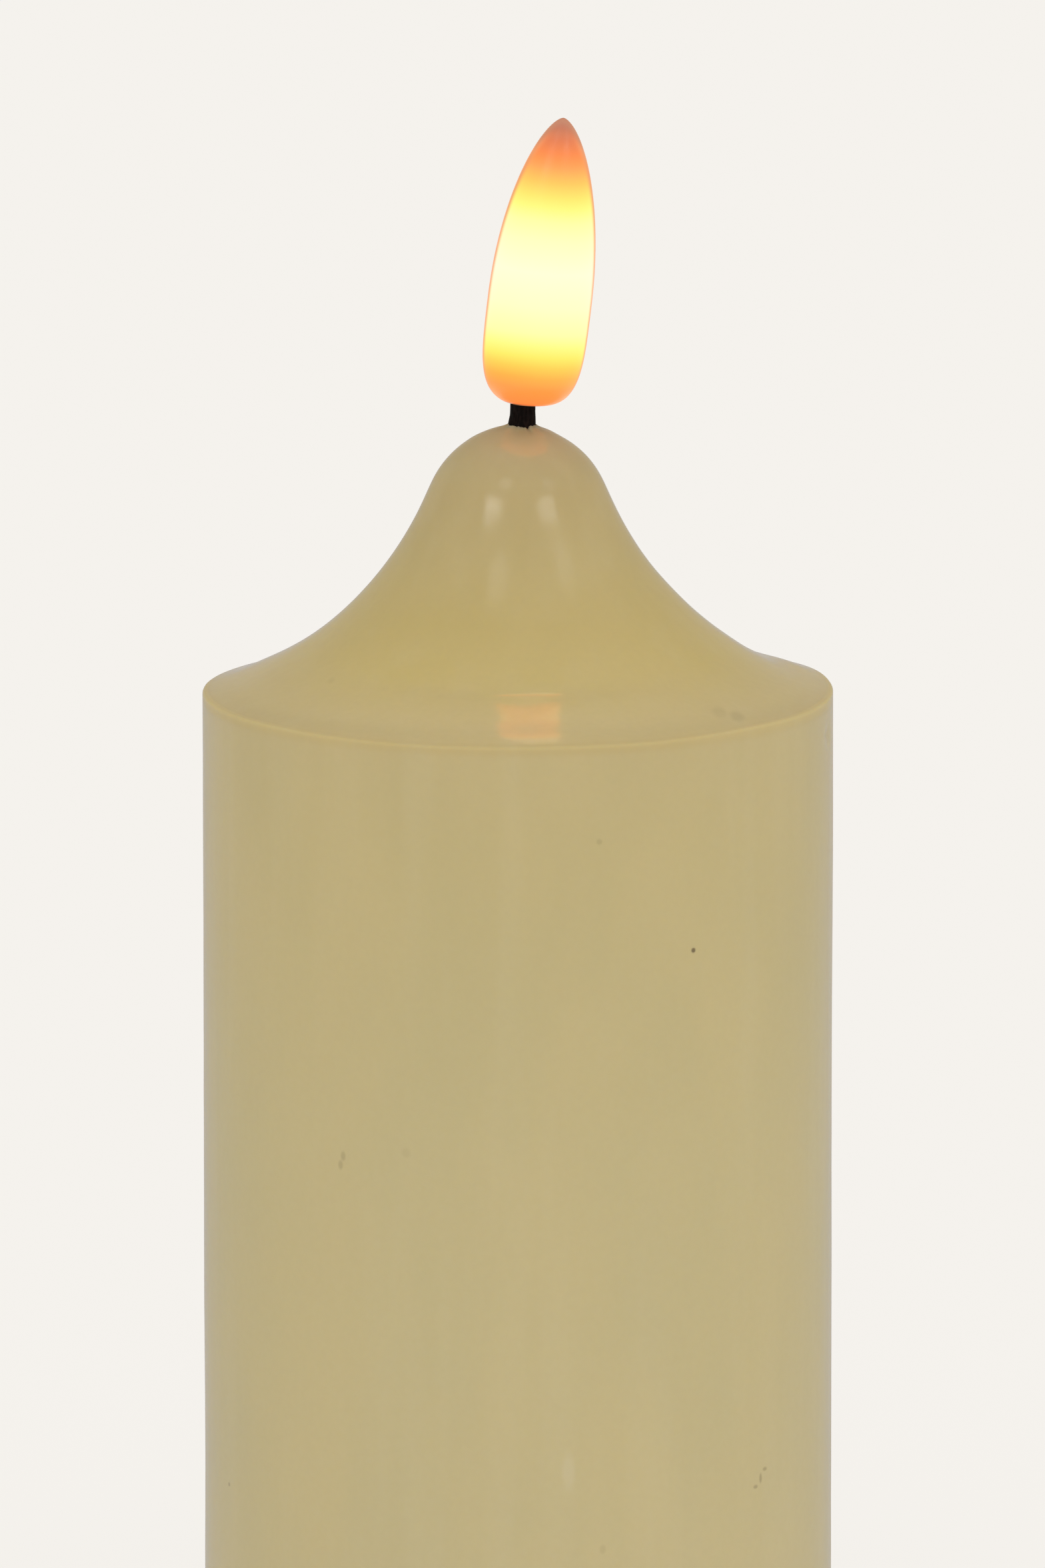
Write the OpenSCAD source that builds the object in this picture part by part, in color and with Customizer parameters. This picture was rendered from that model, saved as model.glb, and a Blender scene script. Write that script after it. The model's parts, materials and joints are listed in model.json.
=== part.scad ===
// Flameless LED pillar candle: a hollow wax body with a bell top, a lit flame on a short black wick,
// and a battery module that closes the underside. The origin is the middle of the base, +Z is up and
// the front is -Y. All sizes are in millimetres.

/* [Wax body] */
// Outer diameter of the wax
candle_d = 75; // [74:0.5:78]
// Height of the wax top above the surface that the candle stands on
candle_h = 150; // [125:5:200]
// Thickness of the wax wall
wax_wall = 5; // [4.5:0.1:5]
// Height of the wax's lower edge above that surface
wax_foot = 1; // [1:0.1:1.2]

/* [Bell top] */
// Radius of the rounded tip of the bell
dome_r = 11.2; // [10.8:0.1:11.6]
// Radius of the hollow curve just under the tip
neck_r = 43.4; // [42:0.1:44.5]
// Radius of the hollow curve above the shoulder
skirt_r = 38.7; // [38:0.1:39.4]
// Radius of the rounded rim at the shoulder
rim_r = 0.4; // [0.3:0.1:1.4]

/* [Flame] */
// Height of the flame
flame_h = 35; // [32:0.1:38]
// Greatest width of the flame
flame_w = 12.4; // [11.5:0.1:13]
// Lean of the flame to the right, in degrees
flame_lean = 5.5; // [4:0.1:8]
// Wall thickness of the flame
flame_wall = 1; // [0.8:0.1:1.2]
// Length of bare wick between the wax and the flame
wick_gap = 2.7; // [2:0.1:4]

/* [Battery module] */
// Diameter of one battery cell
cell_d = 14.2; // [14:0.1:14.4]
// Length of one battery cell with its terminal
cell_l = 50.3; // [50:0.1:50.5]
// Height of the module's case
module_h = 24; // [24:0.5:28]
// Travel of the three-position switch
switch_travel = 4; // [3.6:0.1:4]

/* [Hidden] */
$fn = 96;
eps = 0.01;

// Slopes of the bell, in degrees below the horizontal: its steepest, where the two hollow curves
// meet, and at the shoulder
neck_slope = 68.3;
skirt_slope = 44.8;
shoulder_slope = 17.2;
candle_r = candle_d / 2;
bore_r = candle_r - wax_wall;

// Wick, its holder and the flame's foot
wick_x = 0.6;
wick_r = 1.55;
wick_bore_r = 1.05;
wick_fit = 0.05;
holder_r = 2.2;
holder_flange_r = 5;
holder_flange_h = 1.4;
holder_lip_h = 0.6;
holder_cover = 1.4;
flame_z = candle_h + wick_gap;
flame_offset = 0.55;
flame_depth = 0.92;
flame_sweep = 0.96;
flame_bow = 0.1;
flame_belly = 0.365 * flame_h;
flame_foot_power = 4;
flame_foot_root = 0.3;
flame_tip_power = 2;
flame_tip_root = 0.62;
wick_top = flame_z + 1.3;
led_z = wick_top + 0.2;
led_r = 1.5;
lead_x = 0.52;
wire_r = 0.4;

// Module case
plate_bottom = wax_foot;
plate_t = 1.6;
plate_top = plate_bottom + plate_t;
flange_r = candle_r - 3.5;
flange_gap = 0.2;
case_gap = 0.5;
case_r = bore_r - case_gap;
case_wall = 1.4;
case_in = case_r - case_wall;
lid_t = 1.5;
lid_z = module_h - lid_t;
lip_h = 1.4;
foot_ring = [31, 33.2];

// Battery well
cell_r = cell_d / 2;
cell_pitch = 14.9;
cell_z = plate_top + 0.3 + cell_r;
well_y = 15;
well_wall = 1.2;
well_top = cell_z + cell_r + 0.4;
well_roof = 1.2;
contact_x = 28;
contact_t = 0.4;
contact_w = 7.6;
contact_z = [4.6, 16];
contact_tail = 2.4;
bump_tip = 25.55;
spring_wire_r = 0.35;

// Battery door and its opening
opening = [53, 31.2];
opening_corner = 0.8;
door_gap = 0.3;
door_t = 1.5;
door_size = opening - [2 * door_gap, 2 * door_gap];
nose_r = door_t / 2;
nose_at = [-door_size.x / 2 + nose_r, plate_bottom + nose_r];
tab_y = 12.9;
tab_w = 1.6;
tab_reach = 0.9;
tab_t = 0.9;
latch_w = 10;

// Circuit board and its switch
board_z = 9;
board_t = 1.2;
board_y = [17, 29.4];
board_x = 20;
board_post = [15, 24];
post_r = 2.2;
switch_at = [0, 22.5];
switch_size = [12, 5.6, 3.6];
switch_sheet = 0.35;
knob = [3, 2.2];
knob_end = 0.4;
wafer_t = 0.7;
lid_posts = [[16, -22.5], [-16, -22.5], [23.4, 18.4], [-23.4, 18.4]];
lid_post_r = 2.4;
grommet_at = [4, 20];
grommet_r = 2.6;

// ---- Outlines and sweeps -------------------------------------------------------------------------

// Points of an arc about c, from angle a0 to angle a1
function arc(c, r, a0, a1, n = 16) =
    [for (i = [0:n]) let (a = a0 + (a1 - a0) * i / n) c + r * [cos(a), sin(a)]];

// Outline of a rectangle with round corners, centred on the origin
function round_rect(size, r, n = 8) =
    [for (q = [0:3])
        let (c = [(q == 0 || q == 3 ? 1 : -1) * (size.x / 2 - r), (q < 2 ? 1 : -1) * (size.y / 2 - r)])
        each arc(c, r, 90 * q, 90 * q + 90, n)];

// The bell's outward direction where it slopes down by a degrees
function outward(a) = [sin(a), cos(a)];

dome_c = [0, candle_h - dome_r];
neck_c = dome_c + (dome_r + neck_r) * outward(neck_slope);
skirt_c = neck_c + (skirt_r - neck_r) * outward(skirt_slope);
shoulder_p = skirt_c - skirt_r * outward(shoulder_slope);
shoulder_run = (candle_r - rim_r * (1 - sin(shoulder_slope)) - shoulder_p.x) / cos(shoulder_slope);
rim_c = shoulder_p + shoulder_run * [cos(shoulder_slope), -sin(shoulder_slope)]
    - rim_r * outward(shoulder_slope);
core_top = dome_c + (dome_r - wax_wall) * outward(neck_slope);
core_end_slope = asin((skirt_c.x - bore_r) / (skirt_r + wax_wall));

// Outside of the wax, from the tip of the bell down to its lower edge
wax_outside = concat(
    arc(dome_c, dome_r, 90, 90 - neck_slope, 40),
    arc(neck_c, neck_r, 270 - neck_slope, 270 - skirt_slope, 24),
    arc(skirt_c, skirt_r, 270 - skirt_slope, 270 - shoulder_slope, 24),
    arc(rim_c, rim_r, 90 - shoulder_slope, 0, 16),
    arc([candle_r - 0.8, wax_foot + 0.8], 0.8, 0, -90, 6)
);

// Inside of the wax, from its lower edge up to the flat seat of the wick holder
wax_inside = concat(
    [[flange_r + flange_gap, wax_foot], [flange_r + flange_gap, plate_top + 0.1], [bore_r, plate_top + 0.1]],
    arc(skirt_c, skirt_r + wax_wall, 270 - core_end_slope, 270 - skirt_slope, 20),
    arc(neck_c, neck_r + wax_wall, 270 - skirt_slope, 270 - neck_slope, 20),
    [[0, core_top.y]]
);

// Point on a smooth curve through the points p, at t from 0 to len(p) - 1
function on_route(p, t) =
    let (
        i = min(floor(t), len(p) - 2),
        f = t - i,
        a = i > 0 ? p[i - 1] : 2 * p[0] - p[1],
        b = p[i],
        c = p[i + 1],
        d = i + 2 < len(p) ? p[i + 2] : 2 * c - b
    )
    0.5 * (2 * b + (c - a) * f + (2 * a - 5 * b + 4 * c - d) * f * f + (3 * b - a - 3 * c + d) * f * f * f);

function unit(v) = v / norm(v);

// Rings of points about a line of points. up is a direction that the line never follows.
function rings_about(line, r, sides, up) =
    [for (i = [0:len(line) - 1])
        let (
            along = unit(line[min(i + 1, len(line) - 1)] - line[max(i - 1, 0)]),
            u = unit(cross(along, up)),
            v = cross(u, along)
        )
        [for (k = [0:sides - 1]) line[i] + r * (u * cos(360 * k / sides) + v * sin(360 * k / sides))]];

// Solid through rings of equally many points, closed at both ends
module loft(rings) {
    n = len(rings[0]);
    m = len(rings);
    first = [for (k = [0:n - 1]) k];
    last = [for (k = [n - 1:-1:0]) (m - 1) * n + k];
    sides = [for (i = [0:m - 2], k = [0:n - 1])
        each let (a = i * n + k, b = i * n + (k + 1) % n) [[a, a + n, b], [b, a + n, b + n]]];
    polyhedron([for (ring = rings) each ring], concat([first, last], sides));
}

// Round wire along a route
module wire(route, r, rings, sides = 8, up = [0, 1, 0.02]) {
    line = [for (i = [0:rings]) on_route(route, i * (len(route) - 1) / rings)];
    loft(rings_about(line, r, sides, up));
}

module at_wick(z) {
    translate([wick_x, 0, z]) children();
}

module at_switch(z) {
    translate([switch_at.x, switch_at.y, z]) children();
}

// ---- Wax, wick and flame -------------------------------------------------------------------------

module wax_body() {
    color("#d9cfa4")
        difference() {
            rotate_extrude() polygon(concat(wax_outside, wax_inside));
            at_wick(core_top.y - 1) cylinder(r = holder_r + wick_fit, h = candle_h - holder_cover + 1 - core_top.y);
            at_wick(candle_h - 3) cylinder(r = wick_r + wick_fit, h = 6);
        }
}

// Half width of the flame at height s above its foot
function flame_r(s) =
    flame_w / 2 * (s < flame_belly
        ? pow(1 - pow(1 - s / flame_belly, flame_foot_power), flame_foot_root)
        : pow(1 - pow((s - flame_belly) / (flame_h - flame_belly), flame_tip_power), flame_tip_root));

// Ring of the flame's surface at height s, drawn in by inset. Near the foot it closes round the wick.
function flame_ring(s, r, sides = 40) =
    let (
        near_wick = s < flame_belly ? max(0, 1 - (r - wick_r) / 3) : 0,
        lead_in = -flame_offset * near_wick * near_wick,
        cx = lead_in + flame_sweep * s / flame_h - flame_bow * sin(180 * s / flame_h),
        ry = r * (1 - (1 - flame_depth) * min(1, s / 8))
    )
    [for (k = [0:sides - 1]) [cx + r * cos(360 * k / sides), ry * sin(360 * k / sides), s]];

// Ring of the hole through the flame's foot, which stays upright round the wick
function hole_ring(s, r, sides = 40) =
    let (cx = -(flame_offset + s * sin(flame_lean)) / cos(flame_lean))
    [for (k = [0:sides - 1]) [cx + r * cos(360 * k / sides), r * sin(360 * k / sides), s]];

module flame_shell() {
    hole_r = wick_r + 0.06;
    outer_s = [for (i = [1:46]) let (a = 4 * i) flame_h * (1 - cos(min(a, 179))) / 2];
    outer = [for (s = outer_s) if (flame_r(s) > hole_r + 0.1 || s > flame_belly) flame_ring(s, flame_r(s))];
    cavity_h = flame_h - 5;
    inner_s = [for (i = [30:-1:1]) let (a = 6 * i) flame_wall + cavity_h * (1 - cos(min(a, 176))) / 2];
    inner = [for (s = inner_s) let (r = flame_r(s) - flame_wall) if (r > hole_r + 0.1 || s > flame_belly)
        flame_ring(s, max(r, 0.25))];
    color("#fff2c4")
        translate([wick_x + flame_offset, 0, flame_z])
            rotate([0, flame_lean, 0])
                loft(concat(inner, [hole_ring(flame_wall, hole_r), hole_ring(0, hole_r)], outer));
}

module led_lamp() {
    color("#fdf6dc")
        at_wick(led_z) {
            cylinder(r = 1.9, h = 0.8);
            cylinder(r = led_r, h = 4.2);
            translate([0, 0, 4.2]) sphere(r = led_r);
        }
}

module led_leads() {
    color("silver")
        for (side = [-1, 1])
            at_wick(flame_z - 9)
                translate([side * lead_x - 0.2, -0.2, 0]) cube([0.4, 0.4, led_z - flame_z + 9]);
}

// Heat-shrink over the joints between the lamp's legs and the wires
module lead_sleeves() {
    color("#303030")
        for (side = [-1, 1])
            at_wick(flame_z - 13)
                translate([side * lead_x, 0, 0])
                    difference() {
                        cylinder(r = 0.5, h = 6.5, $fn = 24);
                        translate([0, 0, -1]) cylinder(r = 0.42, h = 9, $fn = 24);
                    }
}

module wick_tube() {
    foot = core_top.y - holder_flange_h + holder_lip_h;
    color("#1b1614")
        at_wick(foot)
            difference() {
                cylinder(r = wick_r, h = wick_top - foot);
                translate([0, 0, -1]) cylinder(r = wick_bore_r, h = wick_top - foot + 2);
            }
}

// Flanged tube that is glued under the bell and grips the wick
module wick_holder() {
    foot = core_top.y - holder_flange_h;
    color("#ece6d2")
        at_wick(foot)
            difference() {
                union() {
                    cylinder(r = holder_flange_r, h = holder_flange_h);
                    cylinder(r = holder_r, h = candle_h - holder_cover - 0.1 - foot);
                }
                translate([0, 0, -1]) cylinder(r = 1.25, h = 4);
                translate([0, 0, holder_lip_h]) cylinder(r = wick_r + wick_fit, h = 20);
            }
}

red_route = [
    [wick_x + lead_x, 0, 141.5], [wick_x + lead_x, 0, 139], [wick_x + lead_x + 0.4, 0.1, 135], [3, 1, 126],
    [7, 5, 102], [4, 14.5, 72], [0.6, 19, 44], [3.3, 20, 30], [3.4, 20, 22], [3, 20, 16], [3, 19.4, 10.4]
];
black_route = [
    [wick_x - lead_x, 0, 141.5], [wick_x - lead_x, 0, 139], [wick_x - lead_x - 0.4, 0.1, 135], [-2, 1, 125],
    [-6, 6, 100], [-1, 11.5, 70], [6.4, 15.5, 44], [5.2, 19.6, 31], [4.6, 20, 22], [5.4, 20, 16], [6, 19.4, 10.4]
];

module flame_lead_red() {
    color("#b3201b") wire(red_route, wire_r, 70);
}

module flame_lead_black() {
    color("#202020") wire(black_route, wire_r, 70);
}

// ---- Module case ---------------------------------------------------------------------------------

// Beads of hot-melt glue between the module's case and the wax
module glue_beads() {
    color("#e8e2c8")
        for (turn = [60:90:330])
            rotate([0, 0, turn])
                rotate_extrude(angle = 22)
                    translate([case_r + 0.02, 6]) square([case_gap - 0.04, 12]);
}

module module_lid() {
    color("#e9e3cf")
        difference() {
            union() {
                translate([0, 0, lid_z]) cylinder(r = case_r, h = lid_t);
                translate([0, 0, lid_z - lip_h])
                    difference() {
                        cylinder(r = case_in - 0.15, h = lip_h + eps);
                        translate([0, 0, -1]) cylinder(r = case_in - 1.3, h = lip_h + 2);
                        for (p = lid_posts) translate([p.x, p.y, -1]) cylinder(r = lid_post_r + 0.3, h = lip_h + 1);
                    }
            }
            for (p = lid_posts) translate([p.x, p.y, lid_z - 2]) cylinder(r = 1.15, h = 6);
            translate([grommet_at.x, grommet_at.y, lid_z - 1]) cylinder(r = grommet_r - 0.6, h = 4);
        }
}

// Self-tapping screw with a pan head, its head's underside at z = 0
module tapping_screw(r, l, head_r, head_h) {
    difference() {
        union() {
            cylinder(r = head_r, h = head_h);
            translate([0, 0, -l]) cylinder(r = r, h = l + eps);
            translate([0, 0, -l - r]) cylinder(r1 = 0.1, r2 = r, h = r + eps);
        }
        for (turn = [0, 90])
            rotate([0, 0, turn]) translate([-head_r * 0.6, -0.2, head_h * 0.45]) cube([head_r * 1.2, 0.4, 3]);
    }
}

module lid_screws() {
    color("#b9babd") for (p = lid_posts) translate([p.x, p.y, module_h]) tapping_screw(0.95, 7, 1.9, 1.2);
}

// Rubber bush with a groove that grips the lid's hole
module wire_grommet() {
    hole_r = grommet_r - 0.6;
    color("#262626")
        translate([grommet_at.x, grommet_at.y, 0])
            rotate_extrude()
                polygon([
                    [1.25, lid_z - 1], [grommet_r - 0.2, lid_z - 1], [grommet_r, lid_z - 0.6], [grommet_r, lid_z],
                    [hole_r, lid_z], [hole_r, module_h], [grommet_r, module_h], [grommet_r, module_h + 0.6],
                    [grommet_r - 0.2, module_h + 1], [1.25, module_h + 1]
                ]);
}

// Slope of a slot that lets a contact's tail through the roof of the well
module contact_slots() {
    for (side = [-1, 1])
        translate([-contact_x - contact_t - 0.3, side * cell_pitch / 2 - 1.6, well_top - 1])
            cube([contact_t + 0.7, 3.2, well_roof + 2]);
}

// Marks beside the switch: a bar for on, a ring for off and a dial for the timer
module switch_marks(depth) {
    at_switch(plate_bottom - 1)
        for (i = [-1:1])
            translate([3.2 * i, 5, 0])
                difference() {
                    if (i < 0) translate([-0.2, -0.9, 0]) cube([0.4, 1.8, 1 + depth]);
                    else cylinder(r = 0.95, h = 1 + depth, $fn = 32);
                    if (i >= 0) translate([0, 0, -1]) difference() {
                        cylinder(r = 0.6, h = 4, $fn = 32);
                        if (i > 0) translate([-0.15, 0, -1]) cube([0.3, 0.6, 6]);
                    }
                }
}

module base_housing() {
    color("#ece7d6")
        difference() {
            union() {
                translate([0, 0, plate_bottom]) cylinder(r = flange_r, h = plate_t);
                difference() {
                    cylinder(r = foot_ring[1], h = plate_bottom + eps);
                    translate([0, 0, -1]) cylinder(r = foot_ring[0], h = plate_bottom + 2);
                }
                difference() {
                    translate([0, 0, plate_bottom]) cylinder(r = case_r, h = lid_z - plate_bottom);
                    translate([0, 0, plate_top]) cylinder(r = case_in, h = module_h);
                }
                intersection() {
                    translate([0, 0, plate_top - eps]) cylinder(r = case_in + 0.2, h = module_h);
                    union() {
                        for (side = [-1, 1])
                            translate([-40, side * (well_y + well_wall / 2) - well_wall / 2, 0])
                                cube([80, well_wall, well_top + well_roof]);
                        translate([-40, -well_y, well_top]) cube([80, 2 * well_y, well_roof]);
                        for (p = lid_posts) translate([p.x, p.y, 0]) cylinder(r = lid_post_r, h = lid_z);
                        for (side = [-1, 1])
                            translate([side * board_post.x, board_post.y, 0]) cylinder(r = post_r, h = board_z);
                        contact_ribs();
                    }
                }
            }
            translate([0, 0, plate_bottom - 1])
                linear_extrude(plate_t + 1) polygon(round_rect(opening, opening_corner));
            for (p = lid_posts) translate([p.x, p.y, lid_z - 8.5]) cylinder(r = 0.96, h = 10);
            for (side = [-1, 1])
                translate([side * board_post.x, board_post.y, board_z - 5]) cylinder(r = 0.76, h = 6);
            translate([switch_at.x, switch_at.y, plate_bottom - 1])
                linear_extrude(1.7) polygon(round_rect([13, 6.4], 3.1));
            translate([switch_at.x - (knob.x + switch_travel) / 2 - 0.25, switch_at.y - knob.y / 2 - 0.25, 0])
                cube([knob.x + switch_travel + 0.5, knob.y + 0.5, 5]);
            contact_slots();
            switch_marks(0.3);
        }
}

// Ribs in the well that keep the contact plates upright
module contact_ribs() {
    for (end = [-1, 1], y = [-1, 1])
        translate([end * (contact_x - 0.55) - 0.5, y * 3.3 - 0.5, 8]) cube([1, 1, well_top - 8 + eps]);
}

module circuit_board() {
    color("#2e6b3c")
        difference() {
            intersection() {
                translate([0, 0, board_z]) cylinder(r = case_in - 0.4, h = board_t);
                translate([-board_x, board_y[0], 0]) cube([2 * board_x, board_y[1] - board_y[0], 30]);
            }
            for (side = [-1, 1])
                translate([side * board_post.x, board_post.y, board_z - 1]) cylinder(r = 1.1, h = 4, $fn = 32);
            for (x = switch_pin_x) at_switch(board_z - 1) translate([x, 0, 0]) cylinder(r = 0.45, h = 4, $fn = 24);
            for (x = [3, 6, -16, -18.5]) translate([x, 19.4, board_z - 1]) cylinder(r = 0.5, h = 4, $fn = 24);
        }
}

module board_screws() {
    color("#b9babd")
        for (side = [-1, 1])
            translate([side * board_post.x, board_post.y, board_z + board_t]) tapping_screw(0.75, 4.2, 1.7, 1);
}

board_top = board_z + board_t;

// Eight-legged chip that flickers the lamp and keeps the time
module controller_chip() {
    color("#26282b")
        translate([-8, 23, board_top]) {
            translate([-2.45, -1.95, 0.15]) cube([4.9, 3.9, 1.4]);
            for (i = [0:3], side = [-1, 1])
                translate([1.27 * (i - 1.5) - 0.2, side * 2.4 - 0.6, 0]) cube([0.4, 1.2, 0.5]);
        }
}

module timer_crystal() {
    color("#c6c8cc")
        translate([9, 27, board_top + 1.05])
            rotate([0, -90, 0]) {
                cylinder(r = 1, h = 6, $fn = 48);
                for (side = [-1, 1]) translate([0, side * 0.4, -1.4]) cylinder(r = 0.15, h = 1.5, $fn = 16);
            }
}

module board_chips(places, size) {
    for (p = places) translate([p.x - size.x / 2, p.y - size.y / 2, board_top]) cube(size);
}

module chip_resistors() {
    color("#1d1d1f") board_chips([[-3, 27], [-3, 25], [-13, 20], [0.5, 26.6]], [2, 1.25, 0.5]);
}

module chip_capacitors() {
    color("#b89a6a") board_chips([[-11.5, 26.8], [1, 20.4], [-9, 19]], [2, 1.25, 0.8]);
}

// Small electrolytic capacitor, standing on the board
module reservoir_capacitor() {
    color("#2b3c5c")
        translate([10.5, 21, board_top])
            rotate_extrude()
                polygon(concat([[0, 0], [2.4, 0]], arc([2.3, 0.2], 0.2, -90, 0, 4), [[2.5, 0.8], [2.35, 1], [2.35, 1.2], [2.5, 1.4]],
                    arc([2.2, 6.9], 0.3, 0, 90, 4), [[0, 7.2]]));
}

// ---- Switch --------------------------------------------------------------------------------------

switch_pin_x = [-4.5, -1.5, 1.5, 4.5];
can_z = board_z - wafer_t - switch_size.z;

// Sheet-metal cover of the switch, open towards the board
module switch_can() {
    inner = [switch_size.x - 2 * switch_sheet, switch_size.y - 2 * switch_sheet];
    color("#c9cbce")
        at_switch(can_z)
            difference() {
                linear_extrude(switch_size.z) polygon(round_rect([switch_size.x, switch_size.y], 0.5, 4));
                translate([0, 0, switch_sheet]) linear_extrude(9) polygon(round_rect(inner, 0.2, 4));
                translate([-(knob.x + switch_travel) / 2 - 0.2, -knob.y / 2 - 0.2, -1])
                    cube([knob.x + switch_travel + 0.4, knob.y + 0.4, 3]);
            }
}

module switch_wafer() {
    color("#8a5a34")
        at_switch(board_z - wafer_t)
            difference() {
                linear_extrude(wafer_t) polygon(round_rect([switch_size.x, switch_size.y], 0.5, 4));
                for (x = switch_pin_x) translate([x, 0, -1]) cylinder(r = 0.36, h = 3, $fn = 24);
            }
}

module switch_pins() {
    color("silver")
        for (x = switch_pin_x)
            at_switch(board_z - wafer_t - 0.3) {
                translate([x, 0, 0]) cylinder(r = 0.7, h = 0.3, $fn = 24);
                translate([x, 0, 0.2]) cylinder(r = 0.35, h = board_t + wafer_t + 0.8, $fn = 24);
            }
}

// The slider rests at its left end, which is on
module switch_slider() {
    body_h = 2;
    body_z = can_z + switch_sheet + 0.05;
    color("#3a3a3c")
        at_switch(0)
            translate([-switch_travel / 2, 0, 0])
                difference() {
                    union() {
                        translate([-2.8, -2.3, body_z]) cube([5.6, 4.6, body_h]);
                        translate([-knob.x / 2, -knob.y / 2, knob_end]) cube([knob.x, knob.y, body_z + 0.5 - knob_end]);
                    }
                    for (x = [-0.9, 0, 0.9]) translate([x - 0.2, -2, knob_end - 1]) cube([0.4, 4, 1.25]);
                }
}

// Springy bridge on the slider that joins two pins
module switch_wiper() {
    body_top = can_z + switch_sheet + 2.05;
    outline = [
        [-2.4, 0], [2.4, 0], [2.4, 0.2], [1.9, 0.6], [1.1, 0.6], [0.5, 0.2], [-0.5, 0.2], [-1.1, 0.6],
        [-1.9, 0.6], [-2.4, 0.2]
    ];
    color("#c8a24a")
        at_switch(body_top)
            translate([-switch_travel / 2, 1.2, 0])
                rotate([90, 0, 0]) linear_extrude(2.4) polygon(outline);
}

// ---- Battery cells, contacts and door ------------------------------------------------------------

// Upright contact plate with a solder tail, at the +X end. bump is the y of a pressed bump, if any.
module contact_plate(y0, y1, tail_y, bump) {
    translate([contact_x, y0, contact_z[0]]) cube([contact_t, y1 - y0, contact_z[1] - contact_z[0]]);
    if (tail_y != undef)
        translate([contact_x, tail_y - contact_tail / 2, contact_z[1] - eps])
            cube([contact_t, contact_tail, well_top + well_roof + 1 - contact_z[1]]);
    if (bump != undef)
        translate([bump_tip, bump, cell_z]) rotate([0, 90, 0]) cylinder(r1 = 2, r2 = 3.1, h = contact_x - bump_tip + eps);
}

module at_left_end() {
    mirror([1, 0, 0]) children();
}

module positive_plate() {
    y = -cell_pitch / 2;
    color("#d4d5d2") at_left_end() contact_plate(y - contact_w / 2, y + contact_w / 2, y, y);
}

module negative_plate() {
    y = cell_pitch / 2;
    color("#d4d5d2") at_left_end() contact_plate(y - contact_w / 2, y + contact_w / 2, y);
}

// One strip that joins the two cells at the right end
module bridge_plate() {
    reach = (cell_pitch + contact_w) / 2;
    color("#d4d5d2") contact_plate(-reach, reach, undef, cell_pitch / 2);
}

// Conical spring between a contact plate and a cell's flat end, along +X from its wide end
module cone_spring() {
    turns = 3.5;
    steps = 84;
    length = contact_x - cell_back_x - 2 * spring_wire_r;
    line = [for (i = [0:steps])
        let (t = i / steps, a = 360 * turns * t, r = 3.2 - 1.4 * t)
        [-spring_wire_r - length * t, r * cos(a), r * sin(a)]];
    loft(rings_about(line, spring_wire_r - 0.02, 8, [1, 0, 0]));
}

cell_tip_x = bump_tip;
cell_back_x = cell_l - cell_tip_x;

module negative_spring() {
    color("#c4c6c8") at_left_end() translate([contact_x, cell_pitch / 2, cell_z]) cone_spring();
}

module bridge_spring() {
    color("#c4c6c8") translate([contact_x, -cell_pitch / 2, cell_z]) cone_spring();
}

// Round cell along +X, its terminal's tip at x = 0
module cell() {
    can_l = cell_l - 1.4;
    outline = concat(
        [[0, 0], [2.55, 0], [2.7, -0.15], [2.7, -1.4], [5.6, -1.4]],
        arc([cell_r - 0.7, -2.1], 0.7, 90, 0, 6),
        [[cell_r, -can_l + 0.6], [cell_r - 0.5, -can_l - 1.1], [5.2, -can_l - 1.1], [5, -can_l - 1.4], [0, -can_l - 1.4]]
    );
    rotate([0, 90, 0]) rotate_extrude() polygon(outline);
}

module cell_rear() {
    color("#b0602c") translate([cell_tip_x, cell_pitch / 2, cell_z]) cell();
}

module cell_front() {
    color("#b0602c") at_left_end() translate([cell_tip_x, -cell_pitch / 2, cell_z]) cell();
}

module battery_lead_red() {
    color("#b3201b")
        wire([[-27.4, -7.45, 19.2], [-25, -4, 20.2], [-22, 6, 20.3], [-18.5, 14, 20.4], [-15.6, 18.6, 17.5],
            [-16, 19.4, 13.5], [-16, 19.4, 10.4]], 0.55, 40, 8, [1, 0.3, 0.1]);
}

module battery_lead_black() {
    color("#202020")
        wire([[-27.4, 7.45, 19.2], [-25, 10, 20.3], [-22, 15, 20.3], [-19.4, 18.4, 17.5],
            [-18.5, 19.4, 13.5], [-18.5, 19.4, 10.4]], 0.55, 30, 8, [1, 0.3, 0.1]);
}

// Tab on the door's round edge that reaches over the plate
module tab() {
    foot = nose_at - [nose_r, 0];
    tab_z = plate_top + 0.1;
    translate([0, tab_w / 2, 0])
        rotate([90, 0, 0])
            linear_extrude(tab_w)
                polygon([
                    foot, [foot.x + 1.2, foot.y], [foot.x + 1.2, tab_z + tab_t - 0.3],
                    [foot.x + 0.9, tab_z + tab_t], [foot.x - tab_reach + 0.3, tab_z + tab_t],
                    [foot.x - tab_reach, tab_z + tab_t - 0.3], [foot.x - tab_reach, tab_z], [foot.x, tab_z]
                ]);
}

// Catch on the door's springy tongue
module catch() {
    right = door_size.x / 2;
    catch_w = 6;
    translate([0, catch_w / 2, 0])
        rotate([90, 0, 0])
            linear_extrude(catch_w)
                polygon([
                    [right - 1.2, plate_top - 0.2], [right, plate_top - 0.2], [right, plate_top + 0.1],
                    [right + 0.8, plate_top + 0.1], [right, plate_top + 0.9], [right - 1.2, plate_top + 0.9]
                ]);
}

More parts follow.
